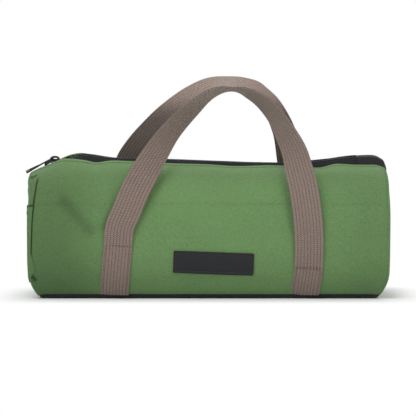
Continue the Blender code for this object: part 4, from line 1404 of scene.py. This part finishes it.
def zip_frame(x):
    """Middle of the zip at a place, with the directions across to the back and up out of it."""
    front = Vector((x, FRONT * mouth_half_gap, hem_line(FRONT, x)))
    back = Vector((x, BACK * mouth_half_gap, hem_line(BACK, x)))
    across = (back - front).normalized()
    up = Vector((1.0, 0.0, 0.0)).cross(across)
    middle = (front + back) / 2.0 - up * (canvas_thickness + tape_thickness / 2.0 + 0.0001)
    if x < level_end:
        bent = step_up(x, *level_places)
        middle = Vector((x, 0.0, slider_level)).lerp(middle, bent)
        across = Vector((0.0, 1.0, 0.0)).lerp(across, bent).normalized()
        up = Vector((1.0, 0.0, 0.0)).cross(across)
    return middle, across, up


def zip_crown(x):
    """How far the tooth rows stand up above the tapes' edges under the hems."""
    middle = zip_frame(x)[0]
    shown = min(max((x - crown_from) / crown_run, 0.0), 1.0)
    return max(smooth_line(band_top_line, x) - tooth_half_height - middle.z, 0.0) * shown


def add_tape(side, part, low, high):
    """Zip tape under the hem, as far as the cord along its inner edge."""
    low = max(low, mouth_left - 0.0075)
    high = min(high, mouth_right)
    reaches = (tape_width, 0.0118, tape_curl_from, 0.0074, 0.0062, 0.0050, 0.0038, 0.0026)

    def place(u, v):
        middle, across, up = zip_frame(low + (high - low) * u)
        reach = at_share(reaches, v)
        dip = tape_dip * bell(reach, tape_dip_reach, tape_dip_width)
        curl = tape_curl * max((reach - tape_curl_from) / (tape_width - tape_curl_from), 0.0) ** 1.5
        crown = zip_crown(middle.x) * (1.0 - step_up(reach, *band_fall))
        return middle + across * (side * reach) - up * (dip + curl) + Vector((0.0, 0.0, crown))

    name = side_name(side) + "_zip_tape"
    tape = laid_cloth(name + "_" + part, steps_in(high - low, 0.004, 6), len(reaches) - 1, place,
                      high - low, tape_width)
    face_away(tape, bag_middle)
    thicken(tape, tape_thickness, 0.0)
    smooth(tape)
    dressed(tape, black_zip_tape, None, "zip_tape", name)
    mouth_blend(tape, side, part)


def add_bead(side, part, low, high):
    """The cord along a tape's inner edge, which carries the teeth."""
    def place(u, v):
        middle, across, up = zip_frame(low + (high - low) * v)
        angle = math.tau * u
        return (middle + across * (side * bead_offset + bead_radius * math.cos(angle))
                + up * (bead_radius * math.sin(angle)) + Vector((0.0, 0.0, zip_crown(middle.x))))

    name = side_name(side) + "_zip_teeth"
    bead = laid_cloth(name + "_bead_" + part, 10, steps_in(high - low, 0.004, 6), place, 0.007, high - low)
    merge_close(bead)
    close_ends(bead)
    smooth(bead, 50.0)
    dressed(bead, black_zip_tape, None, "zip_teeth", name)
    mouth_blend(bead, side, part)


def add_teeth(side, part, low, high):
    """One length of a tooth row, with its bead."""
    low = max(low, row_left)
    high = min(high, row_right)
    add_bead(side, part, low, high)
    places = []
    x = row_left + tooth_pitch / 2.0 + (tooth_pitch / 2.0 if side == BACK else 0.0)
    while x < row_right - tooth_pitch / 2.0:
        if low <= x < high:
            middle, across, up = zip_frame(x)
            spot = middle + across * (side * tooth_offset) + Vector((0.0, 0.0, zip_crown(x)))
            places.append(basis(spot, across.cross(up) * -side, across * -side, up))
        x += tooth_pitch
    name = side_name(side) + "_zip_teeth"
    row = copies_at(name + "_" + part, tooth, places)
    smooth(row, 50.0)
    dressed(row, black_teeth, None, "zip_teeth", name)
    mouth_blend(row, side, part)


def add_zip_end(sign):
    """Tape that carries the zip on over a top corner to the end seam."""
    left = sign < 0.0
    first = mouth_left - 0.0010 if left else row_right + 0.0008
    last = sign * (seam_half_length + (left_end_overlap if left else right_end_overlap))
    half_width = end_tape_half_width

    def place(u, v):
        x = first + (last - first) * v
        inside = max(min(x, seam_half_length), -seam_half_length)
        front = Vector((x, FRONT * half_width, hem_line(FRONT, inside)))
        back = Vector((x, BACK * half_width, hem_line(BACK, inside)))
        if left:
            sink = end_tape_sink + left_end_sink * max(1.0 - v * 1.6, 0.0) ** 1.5
            tuck = left_end_tuck * max((v - 0.88) / 0.12, 0.0) ** 2
            crown = left_end_crown * math.sin(math.pi * u) * v
        else:
            under_hems = 1.0 - step_up(x, mouth_right - 0.0040, mouth_right + 0.0010)
            sink = end_tape_sink + right_end_sink * under_hems
            tuck = right_end_tuck * max((x - seam_half_length) / right_end_overlap, 0.0) ** 1.5
            rise = smooth_line(band_top_line, inside) - (front.z + back.z) / 2.0 + sink - 0.0006
            crown = max(rise, 0.0) * (1.0 - step_up(abs(2.0 * u - 1.0) * half_width, *band_fall))
        spot = front.lerp(back, u)
        spot.z += crown - sink - tuck
        return spot

    name = end_name(sign) + "_zip_end"
    tape = laid_cloth(name + "_tape", 20, 40, place, 2.0 * half_width, abs(last - first))
    face_away(tape, bag_middle)
    thicken(tape, tape_thickness, -1.0)
    smooth(tape)
    dressed(tape, black_zip_tape, "bag", "zip_tape", name)


def add_zip_stop():
    """Metal clip bent over both tooth rows where they end."""
    middle, across, up = zip_frame(row_right)
    middle.z += zip_crown(row_right) - 0.0010
    clip = new_cube("zip_stop_clip")
    with editing(clip):
        bpy.ops.transform.resize(value=stop_size)
        bpy.ops.mesh.bevel(offset=0.0006, segments=2)
    clip.data.transform(basis(middle, across.cross(up), across, up))
    smooth(clip)
    dressed(clip, black_enamel, "bag", "slider_metal", "zip_end_stop")


def new_bail():
    """The slider's bail: a flat humped loop."""
    pick_nothing()
    bpy.ops.mesh.primitive_cylinder_add(vertices=36, radius=1.0, depth=2.0)
    bail = named(bpy.context.object, "slider_bail")
    with editing(bail):
        bpy.ops.transform.rotate(value=math.pi / 2.0, orient_axis="X", center_override=(0.0, 0.0, 0.0))
        bpy.ops.transform.resize(value=bail_half_size)
        pierce(bail, lambda centre, normal: abs(normal.y) > 0.9, bail_thickness)
    round_edges(bail, 0.0005)
    bail.data.transform(Matrix.Translation((slider_x - 0.0022, 0.0, slider_level + 0.0026)))
    return bail


def add_slider():
    """Slider: a body with a narrow nose and hollow flanks, and a bail along its top."""
    slider = new_cube("slider_body")
    with editing(slider):
        bpy.ops.transform.resize(value=slider_size)
        draw_out(slider, slider_nose, nose_taper)
        for turned in (-1.0, 1.0):
            pick_faces(slider, lambda centre, normal: normal.y * turned > 0.9 and centre.x > -0.006)
            bpy.ops.mesh.inset(thickness=0.0018, depth=-0.0012)
    round_edges(slider, 0.0006)
    slider.data.transform(Matrix.Translation((slider_x - 0.0020, 0.0, slider_level)))
    join_to(slider, new_bail())
    smooth(slider)
    dressed(slider, black_enamel, "slider", "slider_metal", "zip_slider")


def add_pull():
    """Pull: a ring through the bail and a slotted tab that hangs over the left end."""
    pull = new_cube("pull_tab")
    with editing(pull):
        bpy.ops.transform.resize(value=pull_root)
        bpy.ops.transform.translate(value=pull_root_place)
        for length, widen in pull_steps:
            draw_out(pull, (-length, 0.0, 0.0), (1.0, widen, 1.0))
        for low, high in pull_slots:
            pierce(pull, lambda centre, normal: abs(normal.z) > 0.9 and low < centre.x < high, slot_edge)
    round_edges(pull, 0.0005)
    for vert in pull.data.vertices:
        turn = pull_twist * step_up(-vert.co.x, 0.008, 0.040)
        vert.co = Matrix.Rotation(turn, 3, "X") @ vert.co
    bpy.ops.mesh.primitive_torus_add(major_segments=28, minor_segments=10, major_radius=0.0026,
                                     minor_radius=0.0010)
    join_to(pull, named(bpy.context.object, "pull_ring"))
    pull.data.transform(Matrix.Rotation(-pull_droop, 4, "Y"))
    pull.data.transform(Matrix.Translation(pull_hinge))
    smooth(pull)
    dressed(pull, black_enamel, "pull", "slider_metal", "zip_pull")


# Straps

def strap_seat(side, x, height):
    """Depth of a strap's middle where it lies on the canvas."""
    here = [abs(cloth_place(side, x + shift, height).y) for shift in (-0.016, -0.008, 0.0, 0.008, 0.016)]
    return max(here) + 0.0002 + webbing_thickness / 2.0


def smooth_route(points, steps):
    """Catmull-Rom curve through points, with a number of steps between each pair."""
    points = [np.array(point, float) for point in points]
    ends = [2.0 * points[0] - points[1]] + points + [2.0 * points[-1] - points[-2]]
    route = []
    for i in range(1, len(ends) - 2):
        a, b, c, d = ends[i - 1:i + 3]
        for step in range(steps):
            t = step / steps
            route.append(0.5 * (2.0 * b + (c - a) * t + (2.0 * a - 5.0 * b + 4.0 * c - d) * t ** 2
                                + (3.0 * b - a - 3.0 * c + d) * t ** 3))
    route.append(points[-1])
    return [Vector(point) for point in route]


def plain_seat(height):
    """Depth of the strap's middle on the even skin, as the part's source has it."""
    run = run_at(height)
    ahead, behind = skin_at(run + 0.001), skin_at(run - 0.001)
    up = Vector((ahead[0] - behind[0], ahead[1] - behind[1])).normalized()
    return skin_at(run)[0] + (strap_rest + webbing_thickness / 2.0) / max(up.y, 0.3)


def strap_feet(side, feet):
    """The two stitched feet of a strap, where its free part begins."""
    return [Vector((x, side * plain_seat(height), height)) for x, height in feet]


def free_route(side, feet, rise, lean, shares):
    """Middle line of a strap's free part: shares of the way along, of its rise and of its lean."""
    start, end = strap_feet(side, feet)
    points = []
    for along, up, inward in shares:
        spot = start.lerp(end, along)
        spot.z += rise * up
        spot.y -= side * lean * inward
        points.append(spot)
    return smooth_route(points, 8)


def sewn_end(side, foot, lean):
    """Middle line of a strap's sewn end, from the base seam up to its stitched line."""
    x, top = foot
    low = base_rim_height + 0.0004
    points = []
    for height in np.linspace(low, top, steps_in(top - low, 0.0026, 8)):
        place = x - lean * (top - height) / (top - low)
        points.append(Vector((place, side * strap_seat(side, place, height), height)))
    return points


def twist_at(share):
    """How far a strap has turned over at a share of its height."""
    return float(np.interp(share, [row[0] for row in twist_route], [row[1] for row in twist_route]))


def met_feet(free, left, right):
    """Draws the ends of the free part over to the sewn ends, less and less over 30 mm."""
    for foot, order in ((left, free), (right, free[::-1])):
        gap = foot[-1] - order[0]
        run = 0.0
        last = order[0].copy()
        for spot in order:
            run += (spot - last).length
            last = spot.copy()
            spot += gap * max(1.0 - run / 0.030, 0.0)


def faced(along, out):
    """Directions along, across and out of a strap, from a rough outward direction."""
    out = (out - along * out.dot(along)).normalized()
    return along, along.cross(out).normalized(), out


def strap_frames(side, feet, rise, lean, shares, apex_tilt):
    """Middles and directions of a whole strap: sewn end, free part and sewn end."""
    left = sewn_end(side, feet[0], tail_leans[0])
    right = sewn_end(side, feet[1], tail_leans[1])
    free = free_route(side, feet, rise, lean, shares)
    met_feet(free, left, right)
    for spot in free:
        if spot.z < shoulder_height + 0.01 and abs(spot.x) < seam_half_length:
            spot.y = side * max(abs(spot.y), strap_seat(side, spot.x, spot.z))
    path = left[:-1] + free + right[-2::-1]
    top = max(spot.z for spot in free)
    frames = []
    for i, spot in enumerate(path):
        along = (path[min(i + 1, len(path) - 1)] - path[max(i - 1, 0)]).normalized()
        face = faced(along, Vector((0.0, side, 0.0)))[2]
        down = along.cross(face) * -side
        turn = twist_at(spot.z / top) * (math.pi / 2.0 - apex_tilt)
        out = face * math.cos(turn) + down * math.sin(turn)
        frames.append((spot, along, along.cross(out).normalized(), out))
    for _ in range(2):
        outs = [sum((near[3] for near in frames[max(i - 2, 0):i + 3]), Vector()).normalized()
                for i in range(len(frames))]
        frames = [(spot, *faced(along, out)) for (spot, along, *_), out in zip(frames, outs)]
    return frames


def strap_section(position):
    """Rise of a strap's face at a share of its width: ribs, and a rounded selvage."""
    ribs = rib_rise * abs(math.sin(math.pi * rib_count * position)) ** 0.7
    taper = min(min(position, 1.0 - position) * webbing_width / 0.0011, 1.0)
    return webbing_thickness / 2.0 * (0.30 + 0.70 * math.sqrt(taper * (2.0 - taper))) - rib_rise + ribs


def strap_painted_light(side, co):
    """Painted highlight at the top, where the strap faces up to the light; painted shade low down on the back
    handle, whose visible face is turned from the light.
    """
    wear_and_painted_light = 1.2 * step_up(co.z, 0.245, 0.285)
    if side == BACK:
        wear_and_painted_light -= 1.5 * (1.0 - step_up(co.z, 0.235, 0.270))
    return wear_and_painted_light


def add_strap(name, side, frames, *nodes):
    """Woven strap: a ribbed face and back between two rounded selvages."""
    lengths = [0.0]
    for first, second in zip(frames, frames[1:]):
        lengths.append(lengths[-1] + (second[0] - first[0]).length)
    shares = [0.0, 0.008, 0.02, 0.035] + [i / (rib_count * 4) for i in range(2, rib_count * 4 - 1)]
    shares += [0.965, 0.98, 0.992, 1.0]
    around = [(share, 1.0) for share in shares] + [(share, -1.0) for share in reversed(shares)]

    def round_at(u):
        return around[round(u * len(around)) % len(around)]

    def place(u, v):
        middle, along, across, out = at_share(frames, v)
        share, face = round_at(u)
        spot = middle + across * ((share - 0.5) * webbing_width)
        cut = 1.0 - step_up(middle.z, *strap_cut_heights)
        if cut > 0.0:
            spot -= along * ((spot.z - middle.z) / along.z * cut)
        return spot + out * (strap_section(share) * face)

    strap = laid_cloth(name, len(around), len(frames) - 1, place)
    set_weave(strap, lambda co, grid: (round_at(grid[0])[0] * webbing_width, at_share(lengths, grid[1])))
    merge_close(strap)
    close_ends(strap)
    set_wear_and_painted_light(strap, lambda co: strap_painted_light(side, co))
    smooth(strap, 60.0)
    dressed(strap, taupe_webbing, None, "webbing", *nodes)
    return strap


def strap_blend(piece, side, feet):
    """Works out the line through a strap's two stitched feet, about which it would bend when folded outwards,
    but does not bend it; it only puts the piece's place into its mesh.
    """
    left, right = strap_feet(side, feet)
    axis = (right - left).normalized()
    up = Vector((0.0, 0.0, 1.0))
    up = (up - axis * up.dot(axis)).normalized()
    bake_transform(piece)


def add_strap_stitches(side, feet, frames):
    """Stitching of the sewn ends: close rows just over each foot and a row down each selvage."""
    places = []
    reach = webbing_width / 2.0 - selvage_inset
    lift = webbing_thickness / 2.0 + 0.00008
    for ends, (x, top) in zip((frames, frames[::-1]), feet):
        sewn = [item for item in ends[:60] if item[0].z <= top + 0.0045 and abs(item[0].x - x) < 0.03]
        for edge in (-reach, reach):
            path = [(spot + across * edge + out * lift, out) for spot, _, across, out in sewn[1:-1]]
            places += stitch_row(path, 0.0040)
        for rise in stitched_line_rises:
            spot, _, across, out = min(sewn, key=lambda item: abs(item[0].z - (top + rise)))
            path = [(spot + across * shift + out * lift, out) for shift in np.linspace(-reach, reach, 9)]
            places += stitch_row(path, 0.0038)
    row = copies_at(side_name(side) + "_handle_stitches", stitch, places)
    dressed(row, taupe_thread, None, "webbing")
    strap_blend(row, side, feet)


# Patch

def patch_spot(along, up, rise):
    """A point over the cloth, from places along and up the patch."""
    x = patch_x + along * math.cos(patch_turn) - up * math.sin(patch_turn)
    height = patch_z + along * math.sin(patch_turn) + up * math.cos(patch_turn)
    return cloth_place(FRONT, x, height, rise)


def graded(count, width):
    """Places over a width of the patch, with extra ones near both edges."""
    inner = list(np.linspace(0.0060, width - 0.0060, count))
    places = list(patch_edge_rows) + inner + [width - row for row in reversed(patch_edge_rows)]
    return [place - width / 2.0 for place in places]


def add_patch():
    """Blank leather patch with a folded edge, sewn down along all four sides."""
    half_width = patch_width / 2.0
    half_height = patch_height / 2.0
    columns = graded(26, patch_width)
    rows = graded(6, patch_height)

    def place(u, v):
        along = at_share(columns, u)
        up = at_share(rows, v)
        past_end = max(abs(along) - (half_width - patch_corner), 0.0)
        past_side = max(abs(up) - (half_height - patch_corner), 0.0)
        reach = math.hypot(past_end, past_side)
        if past_end > 0.0 and past_side > 0.0 and reach > patch_corner:
            along -= math.copysign(past_end * (1.0 - patch_corner / reach), along)
            up -= math.copysign(past_side * (1.0 - patch_corner / reach), up)
        from_edge = min(half_width - abs(along), half_height - abs(up))
        folded = 0.00045 * bell(from_edge, 0.0013, 0.0010)
        sewn = 0.00040 * bell(from_edge, patch_stitch_inset, 0.0005)
        return patch_spot(along, up, 0.0004 + folded - sewn)

    leather = laid_cloth("front_patch_leather", len(columns) - 1, len(rows) - 1, place)
    face_away(leather, bag_middle)
    thicken(leather, 0.0013, 1.0, 0.00035, even=False)
    set_wear_and_painted_light(leather, lambda co: 0.0)
    smooth(leather)
    dressed(leather, black_leather, "bag", "patch_leather", "front_patch")
    end = half_width - patch_stitch_inset
    side = half_height - patch_stitch_inset
    corners = [Vector(corner) for corner in ((-end, -side), (end, -side), (end, side), (-end, side))]
    places = []
    for first, second in zip(corners, corners[1:] + corners[:1]):
        path = [(patch_spot(*first.lerp(second, share), 0.0015), Vector((0.0, -1.0, 0.0)))
                for share in np.linspace(0.0, 1.0, 24)]
        places += stitch_row(path, 0.0036)
    dressed(copies_at("front_patch_stitches", stitch, places), black_thread, "bag", "patch_leather")


# Base

def add_base():
    """Coated cloth base: a flat floor with rounded corners whose rim meets the canvas."""
    half_length = seam_x(base_rim_height / 2.0) - 0.0003
    half_depth = float(section_points[0][0])
    pick_nothing()
    bpy.ops.mesh.primitive_plane_add(size=2.0, location=(0.0, 0.0, 0.0))
    base = named(bpy.context.object, "base_cloth")
    with editing(base):
        bpy.ops.transform.resize(value=(half_length, half_depth, 1.0))
        bpy.ops.mesh.bevel(offset=base_corner, segments=6, affect="VERTICES")
        bpy.ops.mesh.select_all(action="SELECT")
        bpy.ops.mesh.inset(thickness=base_rim_width, depth=0.0)
        bpy.ops.mesh.inset(thickness=0.0100, depth=0.0)
    for vert in base.data.vertices:
        from_end = half_length - abs(vert.co.x)
        from_side = half_depth - abs(vert.co.y)
        on_edge = min(from_end, from_side) < 0.0005
        in_corner = max(from_end, from_side) < base_corner + 0.0005
        on_corner = in_corner and math.hypot(base_corner - from_end, base_corner - from_side) > 0.0092
        vert.co.z = base_rim_rise if on_edge or on_corner else 0.0
    with editing(base):
        bpy.ops.mesh.region_to_loop()
        bpy.ops.mesh.extrude_edges_move(TRANSFORM_OT_translate={"value": (0.0, 0.0, 0.0014)})
        bpy.ops.transform.resize(value=(1.0016, 1.0050, 1.0))
        bpy.ops.mesh.extrude_edges_move(TRANSFORM_OT_translate={"value": (0.0, 0.0, 0.0026)})
        bpy.ops.mesh.select_all(action="SELECT")
        bpy.ops.mesh.normals_make_consistent(inside=False)
        bpy.ops.uv.cube_project(cube_size=1.0)
    base.data.uv_layers[0].name = "weave"
    set_weave(base, lambda co, grid: (co.x + co.z, co.y + co.z))
    face_away(base, (0.0, 0.0, 0.05))
    thicken(base, 0.0014, -1.0, 0.0003)
    low = min(vert.co.z for vert in base.data.vertices)
    for vert in base.data.vertices:
        vert.co.z -= low
    set_wear_and_painted_light(base, lambda co: 0.5 * max(0.0, 1.0 - co.z / 0.002))
    smooth(base)
    dressed(base, black_base_cloth, "bag", "base_cloth", "base_panel")
    return half_length, half_depth


def base_ring(half_length, half_depth, corner, height, count):
    """A rounded rectangle of points."""
    points = []
    for quarter, (sign_x, sign_y) in enumerate(((1, 1), (-1, 1), (-1, -1), (1, -1))):
        for angle in np.linspace(quarter * math.pi / 2.0, (quarter + 1) * math.pi / 2.0, 9):
            x = sign_x * (half_length - corner) + corner * math.cos(angle)
            y = sign_y * (half_depth - corner) + corner * math.sin(angle)
            points.append(Vector((x, y, height)))
    return even_ring(points, count)


def add_piping(half_length, half_depth):
    """Thin cord of the base cloth in the seam between base and canvas."""
    ring = base_ring(half_length + 0.0004, half_depth + 0.0006, base_corner + 0.0005, 0.0046, 360)

    def place(u, v):
        here = round(v * len(ring))
        point = ring[here % len(ring)]
        along = (ring[(here + 1) % len(ring)] - point).normalized()
        out = along.cross(Vector((0.0, 0.0, 1.0))).normalized()
        angle = math.tau * u
        return (point + out * (piping_radius * math.cos(angle))
                + Vector((0.0, 0.0, piping_radius * math.sin(angle))))

    piping = laid_cloth("base_piping", 8, len(ring), place, 0.007, 1.1)
    merge_close(piping)
    smooth(piping, 70.0)
    dressed(piping, black_base_cloth, "bag", "base_cloth")


# Inside

def add_inner_pocket():
    """Flat sleeve on the front wall inside, with a bound top that stands a little open."""
    half, low, high = inner_pocket
    hem = (0.0074, 0.0050, 0.0020, 0.0)
    rows = list(np.linspace(low, high - 0.008, 22)) + [high - drop for drop in hem]

    def place(u, v):
        height = at_share(rows, v)
        middle = 1.0 - abs(2.0 * u - 1.0) ** 4
        up = (height - low) / (high - low)
        gape = 0.0095 * middle * min(1.0, 2.5 * up)
        wave = 0.0010 * math.sin(u * 17.0) * middle * up
        fold = 0.0005 if height in rows[-len(hem):] else 0.0
        spot = cloth_place(FRONT, -half + 2.0 * half * u, height)
        spot.y += inner_gap + canvas_thickness + gape + wave + fold
        return spot

    cloth = laid_cloth("inner_pocket_cloth", 56, len(rows) - 1, place, 2.0 * half, high - low)
    face_away(cloth, (0.0, -0.2, belly_height))
    thicken(cloth, 0.0007, 0.0)
    smooth(cloth)
    dressed(cloth, black_lining, "bag", "lining", "inner_front_pocket")
    path = [(place(u, 1.0) + Vector((0.0, 0.0005, -0.0050)), Vector((0.0, 1.0, 0.0)))
            for u in np.linspace(0.02, 0.98, 60)]
    dressed(copies_at("inner_pocket_stitches", stitch, stitch_row(path)), black_thread, "bag", "lining")


def add_tool_loops():
    """Elastic strip on the back wall inside, sewn down between its six loops."""
    half, low, high = tool_loops

    def place(u, v):
        lift = 0.0090 * math.sin(math.pi * u * tool_loop_count) ** 2
        spot = cloth_place(BACK, -half + 2.0 * half * u, low + (high - low) * v)
        spot.y -= inner_gap + canvas_thickness + lift
        return spot

    strip = laid_cloth("inner_loop_elastic", tool_loop_count * 16, 8, place, 0.36, high - low)
    face_away(strip, (0.0, 0.2, belly_height))
    thicken(strip, 0.0012, 0.0, 0.0003)
    smooth(strip)
    dressed(strip, black_elastic, "bag", "elastic", "inner_tool_loops")
    places = []
    for number in range(tool_loop_count + 1):
        u = min(max(number / tool_loop_count, 0.004), 0.996)
        path = [(place(u, v) + Vector((0.0, -0.0007, 0.0)), Vector((0.0, -1.0, 0.0)))
                for v in np.linspace(0.04, 0.96, 8)]
        places += stitch_row(path, 0.0034)
    dressed(copies_at("inner_loop_stitches", stitch, places), black_thread, "bag", "elastic")


def finish_hardware():
    """The board keeps its shape from the frame and gets its finish."""
    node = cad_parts["base_board"]
    node.data.materials.clear()
    node.data.materials.append(board_plastic)


def add_handle(side, feet, rise, lean, route, apex_tilt):
    """A whole handle: its webbing, with both sewn ends."""
    name = side_name(side) + "_handle"
    frames = strap_frames(side, feet, rise, lean, route, apex_tilt)
    strap = add_strap(name + "_webbing", side, frames, name, name + "_left_end", name + "_right_end")
    strap_blend(strap, side, feet)
    return frames


def build_bag():
    for side in (FRONT, BACK):
        for part, low, high in mouth_parts:
            add_canvas(side, part, low, high)
            add_hem_stitches(side, part, low, high)
            add_tape(side, part, low, high)
            add_teeth(side, part, low, high)
    for sign in (-1.0, 1.0):
        add_end(sign)
        add_binding(sign)
        add_zip_end(sign)
    add_pocket()
    front = add_handle(FRONT, front_feet, front_rise, front_lean_in, front_route, front_apex_tilt)
    back = add_handle(BACK, back_feet, back_rise, back_lean_in, back_route, back_apex_tilt)
    add_strap_stitches(FRONT, front_feet, front)
    add_strap_stitches(BACK, back_feet, back)
    add_patch()
    add_piping(*add_base())
    add_inner_pocket()
    add_tool_loops()
    add_zip_stop()
    add_slider()
    add_pull()
    finish_hardware()
    discard(stitch, tooth)


# Studio

def seen_rays(tree):
    """One for what the camera sees, also in metal and through glass."""
    path = tree.nodes.new("ShaderNodeLightPath").outputs
    sum_of_rays = maths(tree, "ADD", path["Is Camera Ray"], path["Is Glossy Ray"])
    return maths(tree, "MINIMUM", maths(tree, "ADD", sum_of_rays, path["Is Transmission Ray"]), 1.0)


def add_floor():
    """White ground that shows a soft shadow close round the bag and fades to plain white."""
    pick_nothing()
    bpy.ops.mesh.primitive_plane_add(size=14.0, location=(0.0, 2.0, -0.0002))
    floor = settle(named(bpy.context.object, "studio_floor"))
    finish, tree, shader = new_finish("pale floor", Roughness=0.9, Specular_IOR_Level=0.1)
    shader.inputs["Base Color"].default_value = (0.93, 0.93, 0.93, 1.0)
    along, across, _ = split(tree, object_place(tree))
    beyond = []
    for place, half in ((along, 0.225), (across, 0.070)):
        past = maths(tree, "MAXIMUM", maths(tree, "SUBTRACT", maths(tree, "ABSOLUTE", place), half), 0.0)
        beyond.append(maths(tree, "MULTIPLY", past, past))
    away = maths(tree, "SQRT", maths(tree, "ADD", *beyond))
    white = tree.nodes.new("ShaderNodeEmission")
    fade = tree.nodes.new("ShaderNodeMixShader")
    shown = maths(tree, "MULTIPLY", ramp(tree, away, 0.010, 0.080), seen_rays(tree))
    feed(tree, fade.inputs[0], shown)
    feed(tree, fade.inputs[1], shader.outputs[0])
    feed(tree, fade.inputs[2], white.outputs[0])
    feed(tree, tree.nodes["Material Output"].inputs[0], fade.outputs[0])
    floor.data.materials.append(finish)


def add_light(name, place, target, width, height, power):
    data = bpy.data.lights.new(name, "AREA")
    data.shape = "RECTANGLE"
    data.size = width
    data.size_y = height
    data.energy = power
    lamp = bpy.data.objects.new(name, data)
    bpy.context.scene.collection.objects.link(lamp)
    lamp.location = place
    lamp.rotation_euler = (Vector(target) - Vector(place)).to_track_quat("-Z", "Y").to_euler()


def white_light(tree, strength):
    step = tree.nodes.new("ShaderNodeBackground")
    step.inputs["Color"].default_value = (1.0, 1.0, 1.0, 1.0)
    step.inputs["Strength"].default_value = strength
    return step.outputs[0]


def add_studio():
    """Floor, three lamps, and a world that the camera sees as plain white."""
    add_floor()
    add_light("key_light", (-0.7, -1.6, 2.3), (0.0, 0.0, 0.10), 1.4, 1.0, 34.0)
    add_light("fill_light", (1.6, -2.2, 0.9), (0.0, 0.0, 0.10), 1.6, 1.4, 12.0)
    add_light("back_light", (0.2, 1.6, 1.7), (0.0, 0.0, 0.12), 1.6, 0.8, 12.0)
    world = bpy.data.worlds.new("soft studio")
    bpy.context.scene.world = world
    world.use_nodes = True
    tree = world.node_tree
    tree.nodes.clear()
    mix = tree.nodes.new("ShaderNodeMixShader")
    out = tree.nodes.new("ShaderNodeOutputWorld")
    tree.links.new(seen_rays(tree), mix.inputs[0])
    tree.links.new(white_light(tree, 0.55), mix.inputs[1])
    tree.links.new(white_light(tree, 1.0), mix.inputs[2])
    tree.links.new(mix.outputs[0], out.inputs[0])
    bpy.context.scene.view_settings.view_transform = "Standard"


def add_camera():
    """The photo's view: almost level, from 2.5 m in front."""
    data = bpy.data.cameras.new("photo_camera")
    data.sensor_width = sensor_width
    data.lens = photo_focal * sensor_width / photo_width
    camera = bpy.data.objects.new("photo_camera", data)
    bpy.context.scene.collection.objects.link(camera)
    toward = Vector((0.0, -math.cos(camera_rise), math.sin(camera_rise)))
    camera.location = camera_target + toward * camera_distance
    camera.rotation_euler = (camera_target - camera.location).to_track_quat("-Z", "Y").to_euler()
    bpy.context.scene.camera = camera


build_bag()
add_studio()
add_camera()
pick_nothing()
bpy.context.view_layer.update()
